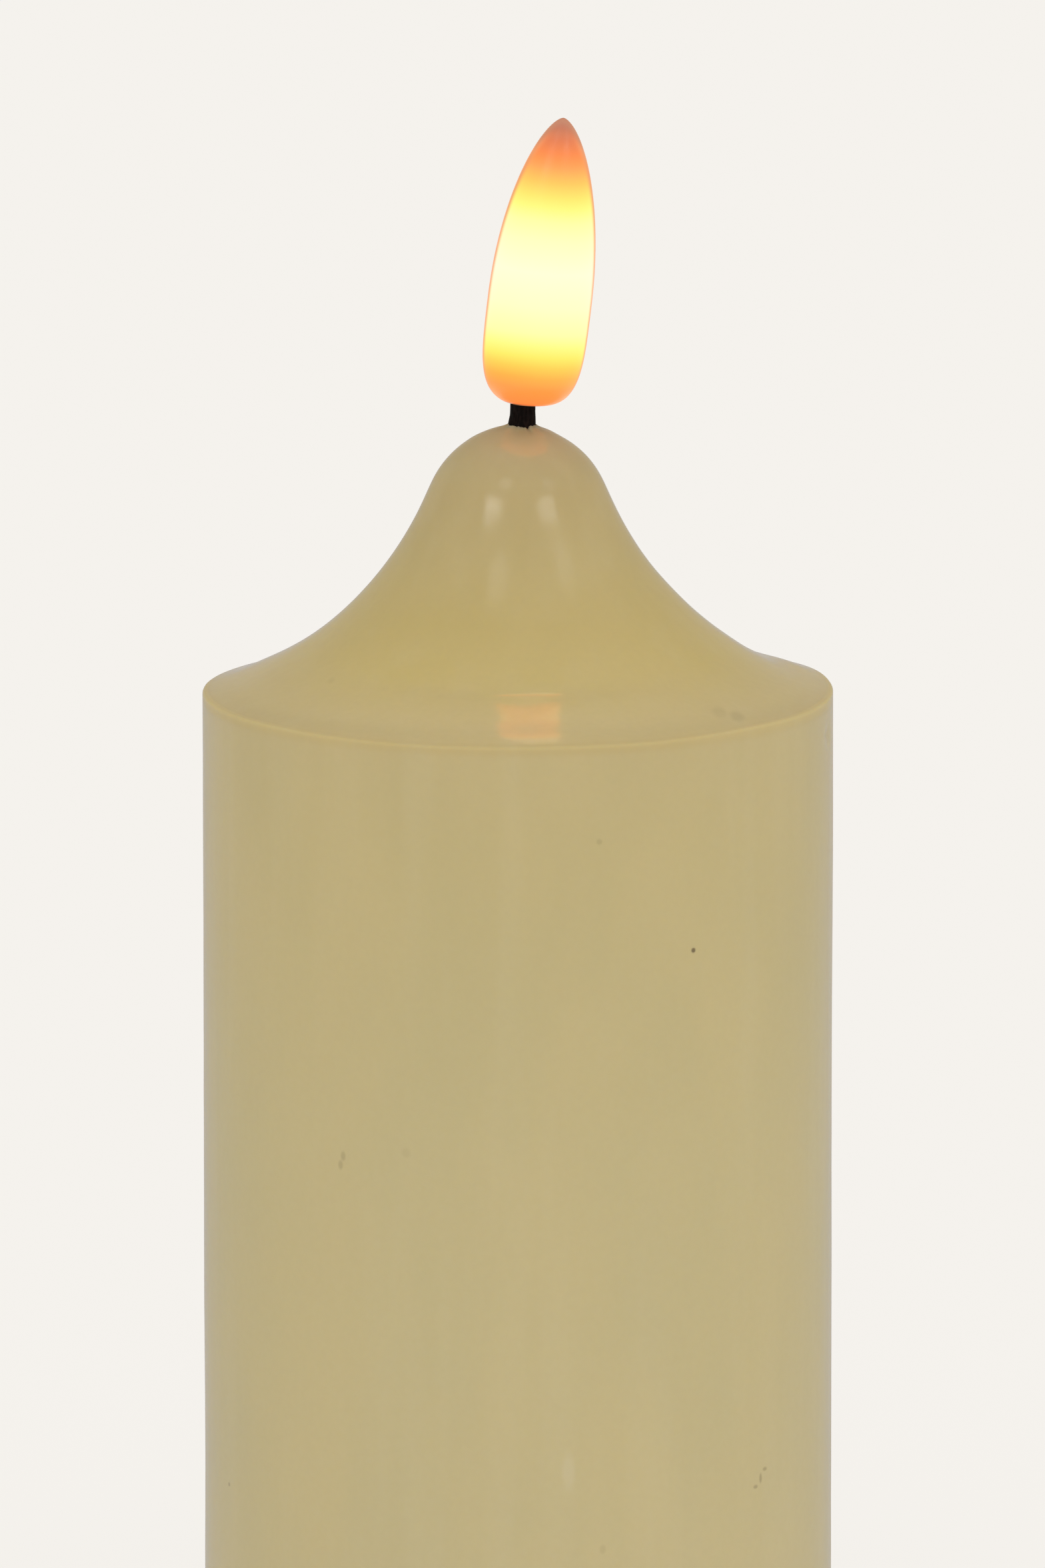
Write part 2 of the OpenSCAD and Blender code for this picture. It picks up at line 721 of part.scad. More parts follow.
// Door over the battery well. It turns on the round edge at its -X end, and a tongue latches the other.
module battery_door() {
    right = door_size.x / 2;
    slit = [14, 0.8];
    rib = [34, 1.2, 1.8];
    color("#e6e0cc")
        difference() {
            union() {
                difference() {
                    translate([0, 0, plate_bottom])
                        linear_extrude(door_t) polygon(round_rect(door_size, opening_corner - door_gap));
                    translate([nose_at.x - 2, -door_size.y, 0]) cube([2, 2 * door_size.y, 4]);
                }
                translate([nose_at.x, 0, nose_at.y])
                    rotate([90, 0, 0]) cylinder(r = nose_r, h = door_size.y - 2 * opening_corner, center = true);
                for (side = [-1, 1]) translate([0, side * tab_y, 0]) tab();
                catch();
                translate([-rib.x / 2 - 4, -rib.y / 2, plate_bottom + door_t - eps]) cube(rib);
                for (i = [0:3])
                    translate([right - 3 - 1.6 * i, 0, plate_bottom])
                        rotate([90, 0, 0]) cylinder(r = 0.35, h = latch_w - 3, center = true, $fn = 24);
            }
            for (side = [-1, 1])
                translate([right - slit.x + 2, side * latch_w / 2 - slit.y / 2, 0]) cube([slit.x, slit.y, 4]);
            translate([right - 15.5, 0, 0])
                linear_extrude(plate_bottom + 0.35) polygon([[-1.6, -2], [1.2, 0], [-1.6, 2]]);
        }
}

wax_body();
flame_shell();
led_lamp();
led_leads();
lead_sleeves();
wick_tube();
wick_holder();
flame_lead_red();
flame_lead_black();
glue_beads();
module_lid();
lid_screws();
wire_grommet();
base_housing();
circuit_board();
board_screws();
controller_chip();
timer_crystal();
chip_resistors();
chip_capacitors();
reservoir_capacitor();
switch_can();
switch_wafer();
switch_pins();
switch_slider();
switch_wiper();
positive_plate();
negative_plate();
negative_spring();
bridge_plate();
bridge_spring();
battery_lead_red();
battery_lead_black();
cell_front();
cell_rear();
battery_door();
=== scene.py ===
import json
import math

import bmesh
import bpy
import numpy as np
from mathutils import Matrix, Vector, noise


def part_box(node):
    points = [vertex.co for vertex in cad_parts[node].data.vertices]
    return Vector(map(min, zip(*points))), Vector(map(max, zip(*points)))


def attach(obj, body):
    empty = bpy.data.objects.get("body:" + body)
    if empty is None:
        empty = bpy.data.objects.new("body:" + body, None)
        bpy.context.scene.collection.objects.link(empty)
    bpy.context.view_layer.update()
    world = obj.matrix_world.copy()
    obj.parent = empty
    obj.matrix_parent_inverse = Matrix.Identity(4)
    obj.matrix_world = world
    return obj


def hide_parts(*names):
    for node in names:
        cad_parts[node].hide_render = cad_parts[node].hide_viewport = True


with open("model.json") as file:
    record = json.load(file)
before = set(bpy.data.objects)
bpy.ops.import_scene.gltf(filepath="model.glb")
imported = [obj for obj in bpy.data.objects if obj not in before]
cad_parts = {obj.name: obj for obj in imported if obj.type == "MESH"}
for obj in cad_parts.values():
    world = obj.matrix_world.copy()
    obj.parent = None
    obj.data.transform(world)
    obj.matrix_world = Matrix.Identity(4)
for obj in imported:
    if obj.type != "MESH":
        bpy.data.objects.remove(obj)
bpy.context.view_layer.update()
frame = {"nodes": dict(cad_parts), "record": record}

MM = 0.001
NODES = frame["nodes"]
SLOT_OF = {part["node"]: part["material_slot"] for part in frame["record"]["subparts"]}


# ---- Meshes --------------------------------------------------------------------------------------

def add_object(name, mesh, body, slot):
    """Links a new piece that rides on a body and takes its finish from one of the record's slots."""
    piece = bpy.data.objects.new(name, mesh)
    bpy.context.scene.collection.objects.link(piece)
    piece.data.materials.append(finish(slot))
    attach(piece, body)
    return piece


def smooth(mesh, sharp_degrees=None):
    mesh.polygons.foreach_set("use_smooth", [True] * len(mesh.polygons))
    if sharp_degrees is not None:
        mesh.set_sharp_from_angle(angle=math.radians(sharp_degrees))
    mesh.update()
    return mesh


def loft_mesh(name, rings, closed=False):
    """Mesh through rings of equally many points. A closed one joins its last ring to its first."""
    rings = np.asarray(rings, float)
    count, sides = rings.shape[:2]
    faces = []
    for i in range(count if closed else count - 1):
        a, b = i * sides, (i + 1) % count * sides
        faces += [(a + k, a + (k + 1) % sides, b + (k + 1) % sides, b + k) for k in range(sides)]
    if not closed:
        faces.append(tuple(reversed(range(sides))))
        faces.append(tuple(range((count - 1) * sides, count * sides)))
    mesh = bpy.data.meshes.new(name)
    mesh.from_pydata(rings.reshape(-1, 3).tolist(), [], faces)
    outwards(mesh)
    return smooth(mesh)


def outwards(mesh):
    """Turns a closed mesh's faces so that they all look outwards."""
    work = bmesh.new()
    work.from_mesh(mesh)
    bmesh.ops.recalc_face_normals(work, faces=work.faces)
    work.to_mesh(mesh)
    work.free()


# Edges that turn by more than this stay sharp, or are rounded where they stand outwards
SHARP_DEGREES = 32


def softened(node, width, name, body):
    """A copy of a CAD node with its sharp outer edges rounded, which stands for that node."""
    mesh = NODES[node].data.copy()
    mesh.materials.clear()
    work = bmesh.new()
    work.from_mesh(mesh)
    bmesh.ops.remove_doubles(work, verts=work.verts, dist=0.002 * MM)
    bmesh.ops.dissolve_limit(work, angle_limit=math.radians(0.5), verts=work.verts, edges=work.edges)
    rounded = work.edges.layers.float.new("bevel_weight_edge")
    for edge in work.edges:
        if edge.is_manifold and edge.is_convex and edge.calc_face_angle() > math.radians(SHARP_DEGREES):
            edge[rounded] = 1.0
    work.to_mesh(mesh)
    work.free()
    piece = add_object(name, mesh, body, SLOT_OF[node])
    bevel = piece.modifiers.new("round_edges", "BEVEL")
    bevel.width = width
    bevel.segments = 3
    bevel.limit_method = "WEIGHT"
    bevel.miter_outer = "MITER_ARC"
    bevel.use_clamp_overlap = True
    bevel.harden_normals = False
    apply_modifiers(piece)
    smooth(piece.data, SHARP_DEGREES)
    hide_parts(node)


def apply_modifiers(piece):
    """Bakes a piece's modifiers into its mesh."""
    evaluated = piece.evaluated_get(bpy.context.evaluated_depsgraph_get())
    mesh = bpy.data.meshes.new_from_object(evaluated)
    piece.modifiers.clear()
    piece.data = mesh


def noise_at(x, y, z, seed):
    """Smooth noise from -1 to 1 at a point, in units of its own grain."""
    return noise.noise(Vector((x + 17.3 * seed, y - 9.1 * seed, z + 4.7 * seed)))


def ease(t):
    """0 up to t = 0, 1 from t = 1, and smooth between."""
    t = min(max(t, 0.0), 1.0)
    return t * t * (3 - 2 * t)


def angle_off(angle, centre):
    """How far an angle is from another, from -180 to 180 degrees."""
    return (angle - centre + 180) % 360 - 180


# ---- Material building blocks --------------------------------------------------------------------

def linear(red, green, blue):
    """Linear colour of an 8-bit screen colour."""
    def one(value):
        value /= 255
        return value / 12.92 if value <= 0.04045 else ((value + 0.055) / 1.055) ** 2.4
    return (one(red), one(green), one(blue), 1.0)


RANGE_SOCKETS = ("From Min", "From Max", "To Min", "To Max")


class Shader:
    """A Principled material with a few short ways to add nodes."""

    def __init__(self, name, **sockets):
        self.material = bpy.data.materials.new(name)
        self.material.use_nodes = True
        self.tree = self.material.node_tree
        self.bsdf = self.tree.nodes["Principled BSDF"]
        for key, value in sockets.items():
            self.bsdf.inputs[key.replace("_", " ")].default_value = value
        self.place = self.tree.nodes.new("ShaderNodeTexCoord").outputs["Object"]

    def node(self, kind, **settings):
        made = self.tree.nodes.new(kind)
        for key, value in settings.items():
            setattr(made, key, value)
        return made

    def link(self, source, target):
        self.tree.links.new(source, target)

    def feed(self, socket, value):
        if isinstance(value, bpy.types.NodeSocket):
            self.link(value, socket)
        else:
            socket.default_value = value

    def math(self, operation, *values):
        made = self.node("ShaderNodeMath", operation=operation)
        for socket, value in zip(made.inputs, values):
            self.feed(socket, value)
        return made.outputs[0]

    def noise(self, grain_mm, detail=3.0, stretch=(1, 1, 1), rough=0.5, warp=0.0):
        """Noise whose grain is about grain_mm, stretched along the axes."""
        mapping = self.node("ShaderNodeMapping")
        mapping.inputs["Scale"].default_value = [1 / s for s in stretch]
        self.link(self.place, mapping.inputs["Vector"])
        made = self.node("ShaderNodeTexNoise")
        self.link(mapping.outputs[0], made.inputs["Vector"])
        made.inputs["Scale"].default_value = 1 / (grain_mm * MM)
        made.inputs["Detail"].default_value = detail
        made.inputs["Roughness"].default_value = rough
        made.inputs["Distortion"].default_value = warp
        return made.outputs["Fac"]

    def spread(self, value, low, high, to_low=0.0, to_high=1.0):
        """Maps a range of values smoothly to another and keeps it inside."""
        made = self.node("ShaderNodeMapRange", interpolation_type="SMOOTHSTEP")
        for key, number in zip(RANGE_SOCKETS, (low, high, to_low, to_high)):
            made.inputs[key].default_value = number
        self.feed(made.inputs["Value"], value)
        return made.outputs["Result"]

    def mix(self, factor, a, b):
        made = self.node("ShaderNodeMix", data_type="RGBA")
        self.feed(made.inputs["Factor"], factor)
        self.feed(made.inputs["A"], a)
        self.feed(made.inputs["B"], b)
        return made.outputs["Result"]

    def ramp(self, value, stops):
        """Colour that runs through (position, linear colour) stops."""
        made = self.node("ShaderNodeValToRGB")
        elements = made.color_ramp.elements
        while len(elements) < len(stops):
            elements.new(0.5)
        for element, (position, colour) in zip(elements, stops):
            element.position = position
            element.color = (*colour[:3], 1)
        self.feed(made.inputs[0], value)
        return made.outputs[0]

    def axes(self):
        made = self.node("ShaderNodeSeparateXYZ")
        self.link(self.place, made.inputs[0])
        return made.outputs

    def radius(self):
        """Distance from the candle's upright axis, in metres."""
        x, y, _ = self.axes()
        squares = self.math("ADD", self.math("MULTIPLY", x, x), self.math("MULTIPLY", y, y))
        return self.math("SQRT", squares)

    def near(self, point_mm, radius_mm, stretch=(1, 1, 1)):
        """1 at a point and 0 beyond a radius from it."""
        away = self.node("ShaderNodeVectorMath", operation="SUBTRACT")
        self.link(self.place, away.inputs[0])
        away.inputs[1].default_value = [value * MM for value in point_mm]
        scaled = self.node("ShaderNodeVectorMath", operation="DIVIDE")
        self.link(away.outputs[0], scaled.inputs[0])
        scaled.inputs[1].default_value = stretch
        length = self.node("ShaderNodeVectorMath", operation="LENGTH")
        self.link(scaled.outputs[0], length.inputs[0])
        return self.spread(length.outputs["Value"], 0.35 * radius_mm * MM, radius_mm * MM, 1.0, 0.0)

    def base(self, colour):
        self.feed(self.bsdf.inputs["Base Color"], colour)

    def roughness(self, value):
        self.feed(self.bsdf.inputs["Roughness"], value)

    def bump(self, *layers):
        """Layers of (height from 0 to 1, depth in mm)."""
        normal = None
        for height, depth in layers:
            made = self.node("ShaderNodeBump")
            made.inputs["Strength"].default_value = 1.0
            made.inputs["Distance"].default_value = depth * MM
            self.link(height, made.inputs["Height"])
            if normal is not None:
                self.link(normal, made.inputs["Normal"])
            normal = made.outputs[0]
        self.link(normal, self.bsdf.inputs["Normal"])


# ---- Places that several pieces share ------------------------------------------------------------

wax_low, wax_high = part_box("wax_body")
wick_low, wick_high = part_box("wick_tube")
WAX_R = wax_high.x
WAX_TOP = wax_high.z
SHOULDER_Z = WAX_TOP - 31.6 * MM
WICK_X = (wick_low.x + wick_high.x) / 2
WICK_R = (wick_high.x - wick_low.x) / 2

FLAME_LEAN = math.radians(5.5)
FLAME_LENGTH = 34.6 * MM
# How far the middle of the flame's foot stands beside the wick's axis, and above the wax
FLAME_OFFSET = 0.55 * MM
WICK_GAP = 2.7 * MM
FLAME_FOOT = Vector((WICK_X + FLAME_OFFSET, 0, WAX_TOP + WICK_GAP))
FLAME_AXIS = Vector((math.sin(FLAME_LEAN), 0, math.cos(FLAME_LEAN)))


# ---- Materials -----------------------------------------------------------------------------------

# Colour of the wax from the candle's foot (0) to its top (1): browner from the shoulder up and darker
# towards the top, with a lighter band at the shoulder.
WAX_TINTS = [
    (0.000, linear(194, 180, 136)), (0.450, linear(194, 180, 134)), (0.700, linear(193, 177, 127)),
    (0.780, linear(193, 176, 127)), (0.798, linear(207, 188, 136)), (0.825, linear(203, 183, 120)),
    (0.860, linear(196, 176, 114)), (0.905, linear(191, 172, 118)), (0.955, linear(186, 166, 117)),
    (0.995, linear(177, 164, 124)),
]
# Small marks in the wax: place and size in mm, how far each is drawn out in X, Y and Z, and its darkness
WAX_SPECKS = [
    ((20.7, -31.3, 92.6), 0.42, (1, 1, 1), 0.75),
    ((23.7, -23.1, 119.4), 1.3, (1, 1.7, 1), 0.1),
    ((25.8, -22.9, 118.9), 1.3, (1, 1.7, 1), 0.13),
    ((28.2, -24.7, 26.6), 0.42, (1.3, 1.3, 0.8), 0.3),
    ((28.8, -24.0, 27.5), 0.42, (0.8, 0.8, 2.0), 0.3),
    ((29.3, -23.4, 28.5), 0.42, (1.3, 1.3, 0.8), 0.3),
    ((-20.9, -31.1, 66.8), 0.5, (0.9, 1, 1.6), 0.2),
    ((-20.6, -31.3, 67.9), 0.5, (0.9, 1, 1.6), 0.2),
    ((9.6, -36.3, 106.5), 0.5, (1, 1, 1), 0.14),
    ((-13.2, -35.1, 69.0), 0.8, (1, 1, 1), 0.07),
    ((10.0, -36.1, 21.5), 0.4, (1.4, 1, 2), 0.1),
    ((-34.4, -14.9, 24.8), 0.35, (1.2, 1.2, 1), 0.3),
    ((-22.2, -17.0, 122.6), 0.8, (1, 1.6, 1), 0.08),
    ((28.2, 5.0, 121.6), 0.5, (1, 1, 1), 0.35),
    ((-31.5, 20.4, 74.0), 0.45, (1, 1, 1), 0.4),
    ((9.0, 36.4, 51.0), 0.5, (1.4, 1, 0.8), 0.4),
]
# A pale smudge: place in mm, size and how far it is drawn out
WAX_SMUDGE = ((6.0, -37.0, 31.0), 2.6, (0.4, 1, 1.2))


def wax_material(name):
    """Pale wax that light enters, cloudy and faintly streaked, with small dark marks and painted shade along
    the shoulder's rim.
    """
    s = Shader(name, IOR=1.44)
    s.bsdf.subsurface_method = "RANDOM_WALK"
    s.bsdf.inputs["Subsurface Weight"].default_value = 0.55
    s.bsdf.inputs["Subsurface Radius"].default_value = (1.0, 0.72, 0.36)
    s.bsdf.inputs["Subsurface Scale"].default_value = 3.2 * MM
    cloud = s.noise(17, 3.0, (1, 1, 2.2), 0.55)
    streak = s.noise(5.5, 2.0, (1, 1, 12), 0.5)
    grain = s.noise(0.9, 3.0)
    z = s.axes()[2]
    colour = s.ramp(s.math("DIVIDE", z, WAX_TOP), WAX_TINTS)
    colour = s.mix(s.spread(cloud, 0.3, 0.7, 0.0, 0.3), colour, linear(206, 186, 134))
    colour = s.mix(s.spread(streak, 0.45, 0.75, 0.0, 0.07), colour, linear(214, 202, 166))
    colour = s.mix(s.spread(grain, 0.3, 0.7, 0.0, 0.06), colour, linear(176, 158, 110))
    # Painted shade: the colour darkens in a thin ring at the shoulder's outer edge, and the same ring shines
    # less
    rim = s.math("MULTIPLY", s.spread(s.radius(), 36.6 * MM, 37.1 * MM),
                 s.spread(z, SHOULDER_Z - 1.8 * MM, SHOULDER_Z - 0.9 * MM))
    colour = s.mix(s.math("MULTIPLY", rim, 0.15), colour, linear(150, 130, 90))
    point, size, stretch = WAX_SMUDGE
    colour = s.mix(s.math("MULTIPLY", s.near(point, size, stretch), 0.12), colour, linear(220, 212, 190))
    for point, size, stretch, depth in WAX_SPECKS:
        colour = s.mix(s.math("MULTIPLY", s.near(point, size, stretch), depth), colour, linear(84, 62, 44))
    s.base(colour)
    shine = s.spread(s.math("ADD", s.math("MULTIPLY", cloud, 0.6), s.math("MULTIPLY", grain, 0.4)),
                     0.3, 0.7, 0.11, 0.17)
    ledge = s.spread(z, SHOULDER_Z - 2 * MM, SHOULDER_Z, 0.0, -0.035)
    bell = s.spread(z, SHOULDER_Z + 6 * MM, SHOULDER_Z + 14 * MM, 0.0, 0.06)
    s.roughness(s.math("ADD", shine, s.math("ADD", ledge, bell)))
    s.feed(s.bsdf.inputs["Specular IOR Level"], s.spread(rim, 0.0, 1.0, 0.5, 0.08))
    s.bump((s.noise(6, 2.0, (1, 1, 2.0)), 0.02), (grain, 0.003))
    return s.material


# Light of the flame along its length, from its foot (0) to its tip (1), as linear red, green and blue
FLAME_GLOW = [
    (0.000, (1.05, 0.232, 0.046)),
    (0.030, (1.60, 0.266, 0.050)),
    (0.075, (2.00, 0.312, 0.046)),
    (0.115, (2.40, 0.426, 0.050)),
    (0.155, (2.50, 0.628, 0.077)),
    (0.190, (2.50, 0.841, 0.126)),
    (0.225, (2.00, 0.952, 0.224)),
    (0.270, (2.00, 0.970, 0.404)),
    (0.360, (1.80, 0.970, 0.561)),
    (0.480, (1.40, 0.970, 0.671)),
    (0.590, (1.40, 0.970, 0.522)),
    (0.655, (1.00, 0.970, 0.383)),
    (0.705, (1.00, 0.943, 0.208)),
    (0.740, (0.99, 0.809, 0.151)),
    (0.790, (0.99, 0.580, 0.108)),
    (0.840, (0.99, 0.372, 0.097)),
    (0.890, (0.88, 0.213, 0.044)),
    (0.930, (0.61, 0.116, 0.015)),
    (0.960, (0.40, 0.077, 0.010)),
    (0.990, (0.24, 0.026, 0.010)),
]
# A small darker spot on the flame, in mm
FLAME_SPOT = (-2.9, -5.0, 158.2)


def flame_material(name):
    """Frosted plastic lit from inside. A darker orange band is painted along its sides, where the two halves
    of the mould meet, as painted shade for the outline its edges show from the front; its tip and foot get
    painted darker edges.
    """
    s = Shader(name, IOR=1.38)
    along = s.node("ShaderNodeVectorMath", operation="DOT_PRODUCT")
    away = s.node("ShaderNodeVectorMath", operation="SUBTRACT")
    s.link(s.place, away.inputs[0])
    away.inputs[1].default_value = FLAME_FOOT
    s.link(away.outputs[0], along.inputs[0])
    along.inputs[1].default_value = FLAME_AXIS / FLAME_LENGTH
    waver = s.math("MULTIPLY", s.math("SUBTRACT", s.noise(9, 1.0), 0.5), 0.012)
    height = s.math("ADD", along.outputs["Value"], waver)
    tip = s.spread(height, 0.84, 0.98)
    s.base(s.mix(tip, (0.05, 0.03, 0.012, 1), (0.28, 0.15, 0.11, 1)))
    side = s.math("ABSOLUTE", s.axes()[1])
    # Painted shade: the orange, darker outline that the flame's sides show from the front, laid in a band
    # where the mould's halves meet
    painted_side_outline = s.math("MULTIPLY", s.spread(side, 2.0 * MM, 0.8 * MM), s.spread(height, 0.97, 0.88))
    # Painted shade: a darker outline at the flame's tip and foot
    ends = s.math("ADD", s.spread(height, 0.86, 0.94, 0.3, 1.0), s.spread(height, 0.14, 0.04, 0.0, 0.7))
    edge = s.math("MULTIPLY", s.spread(side, 1.5 * MM, 0.5 * MM), ends)
    glow = s.mix(s.math("MULTIPLY", painted_side_outline, 0.9), s.ramp(height, FLAME_GLOW), (0.86, 0.30, 0.10, 1))
    glow = s.mix(s.math("MULTIPLY", edge, 0.75), glow, (0.36, 0.15, 0.07, 1))
    # Painted shade: a darker rim at the flame's very foot
    glow = s.mix(s.spread(height, 0.016, 0.002), glow, (0.30, 0.12, 0.05, 1))
    glow = s.mix(s.math("MULTIPLY", s.near(FLAME_SPOT, 0.4), 0.4), glow, (0.5, 0.26, 0.05, 1))
    s.feed(s.bsdf.inputs["Emission Color"], glow)
    s.bsdf.inputs["Emission Strength"].default_value = 1.0
    s.roughness(s.spread(s.noise(1.5, 2.0), 0.3, 0.7, 0.26, 0.34))
    s.bump((s.noise(3.5, 1.0), 0.006))
    return s.material


def moulded_plastic(name, colour, rough, grain_mm=0.35, depth=0.02, tint=0.06):
    """Moulded plastic: fine spark texture, faint flow marks and a little drift in its colour."""
    s = Shader(name, IOR=1.46)
    fine = s.noise(grain_mm, 2.0)
    flow = s.noise(11, 3.0, (3, 1, 1), 0.6, 0.6)
    light = tuple(min(c * (1 + tint), 1) for c in colour[:3]) + (1,)
    dark = tuple(c * (1 - tint) for c in colour[:3]) + (1,)
    s.base(s.mix(s.spread(flow, 0.3, 0.7), dark, light))
    s.roughness(s.spread(fine, 0.3, 0.7, rough - 0.07, rough + 0.07))
    s.bump((flow, depth), (fine, depth * 0.4))
    return s.material


def metal(name, colour, rough, stretch, grain_mm=0.6):
    """Plain metal with rolled or drawn lines and faint stains."""
    s = Shader(name, Metallic=1.0)
    lines = s.noise(grain_mm, 3.0, stretch)
    stain = s.noise(5, 3.0)
    dark = tuple(c * 0.78 for c in colour[:3]) + (1,)
    s.base(s.mix(s.spread(stain, 0.35, 0.75), colour, dark))
    s.roughness(s.spread(lines, 0.3, 0.7, rough - 0.08, rough + 0.12))
    s.bump((lines, 0.006))
    return s.material


def wick_material(name):
    s = Shader(name, IOR=1.3, Specular_IOR_Level=0.25)
    fibre = s.noise(0.28, 3.0, (1, 1, 5), 0.6)
    fleck = s.noise(0.5, 2.0)
    s.base(s.mix(s.spread(fibre, 0.4, 0.8), (0.0035, 0.0022, 0.0018, 1), (0.016, 0.008, 0.006, 1)))
    s.roughness(s.spread(fleck, 0.3, 0.7, 0.7, 0.95))
    s.bump((fibre, 0.03))
    return s.material


def lamp_material(name):
    s = Shader(name, Roughness=0.08, IOR=1.52)
    drift = s.noise(1.2, 2.0)
    s.base(s.mix(drift, (0.85, 0.78, 0.6, 1), (0.95, 0.88, 0.7, 1)))
    s.feed(s.bsdf.inputs["Emission Color"], s.mix(drift, (1, 0.82, 0.45, 1), (1, 0.9, 0.6, 1)))
    s.bsdf.inputs["Emission Strength"].default_value = 1.5
    s.bump((drift, 0.01))
    return s.material


def wire_material(name, colour):
    s = Shader(name, IOR=1.5)
    scuff = s.noise(1.3, 3.0)
    worn = tuple(min(c * 1.5 + 0.01, 1) for c in colour[:3]) + (1,)
    s.base(s.mix(s.spread(scuff, 0.45, 0.8, 0, 0.6), colour, worn))
    s.roughness(s.spread(scuff, 0.3, 0.7, 0.32, 0.5))
    s.bump((s.noise(0.4, 2.0), 0.01))
    return s.material


def glue_material(name):
    s = Shader(name, IOR=1.48)
    cloud = s.noise(1.1, 3.0)
    s.base(s.mix(cloud, linear(216, 206, 176), linear(236, 229, 205)))
    s.roughness(s.spread(cloud, 0.3, 0.7, 0.18, 0.36))
    s.bump((s.noise(0.8, 2.0), 0.08))
    return s.material


def board_material(name):
    """Green lacquer over copper tracks, with bare fibre at the cut edges."""
    s = Shader(name, IOR=1.5)
    z = s.axes()[2]
    low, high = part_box("circuit_board")
    brick = s.node("ShaderNodeTexBrick")
    s.link(s.place, brick.inputs["Vector"])
    brick.inputs["Scale"].default_value = 1 / (9 * MM)
    brick.inputs["Mortar Size"].default_value = 0.09
    brick.inputs["Brick Width"].default_value = 0.62
    brick.inputs["Row Height"].default_value = 0.31
    brick.inputs["Color1"].default_value = (0, 0, 0, 1)
    brick.inputs["Color2"].default_value = (0.25, 0.25, 0.25, 1)
    brick.inputs["Mortar"].default_value = (1, 1, 1, 1)
    tracks = s.mix(brick.outputs["Color"], (0.012, 0.075, 0.022, 1), (0.03, 0.19, 0.055, 1))
    inside = s.spread(s.math("ABSOLUTE", s.math("SUBTRACT", z, (low.z + high.z) / 2)),
                      (high.z - low.z) * 0.45, (high.z - low.z) * 0.49)
    s.base(s.mix(inside, (0.28, 0.25, 0.13, 1), tracks))
    s.roughness(s.spread(s.noise(1.0, 2.0), 0.3, 0.7, 0.2, 0.36))
    s.bump((brick.outputs["Fac"], 0.03), (s.noise(0.3, 2.0), 0.006))
    return s.material


def cell_material(name):
    """Copper and black film round a steel can, with bare metal at both ends and no markings."""
    s = Shader(name, IOR=1.5)
    x, y, _ = s.axes()
    low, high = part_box("cell_rear")
    mid_x = (low.x + high.x) / 2
    half = (high.x - low.x) / 2
    rear = s.spread(y, -0.1 * MM, 0.1 * MM)
    run = s.math("ADD", s.math("MULTIPLY", s.math("SUBTRACT", x, mid_x), s.spread(rear, 0.4, 0.6, -1, 1)),
                 s.math("MULTIPLY", s.spread(rear, 0.4, 0.6, 1, 0), -2 * mid_x))
    copper = s.spread(run, 0.45 * half, 0.46 * half)
    band = s.math("MULTIPLY", s.spread(run, 0.41 * half, 0.42 * half),
                  s.spread(run, 0.46 * half, 0.45 * half))
    jacket = s.mix(copper, (0.012, 0.012, 0.014, 1), linear(186, 96, 44))
    jacket = s.mix(band, jacket, linear(214, 186, 128))
    bare = s.math("MAXIMUM", s.spread(run, half - 2.0 * MM, half - 1.9 * MM),
                  s.spread(run, -half + 0.5 * MM, -half + 0.4 * MM))
    brushed = s.noise(0.4, 2.0, (8, 1, 1))
    steel = s.mix(brushed, (0.5, 0.5, 0.49, 1), (0.66, 0.66, 0.64, 1))
    s.base(s.mix(bare, jacket, steel))
    s.feed(s.bsdf.inputs["Metallic"], s.math("MAXIMUM", bare, s.math("MULTIPLY", copper, 0.55)))
    s.roughness(s.spread(brushed, 0.3, 0.7, 0.2, 0.34))
    s.bump((s.noise(6, 2.0, (4, 1, 1)), 0.02), (brushed, 0.004))
    return s.material


IVORY = linear(236, 229, 208)
DOOR_IVORY = linear(233, 225, 203)
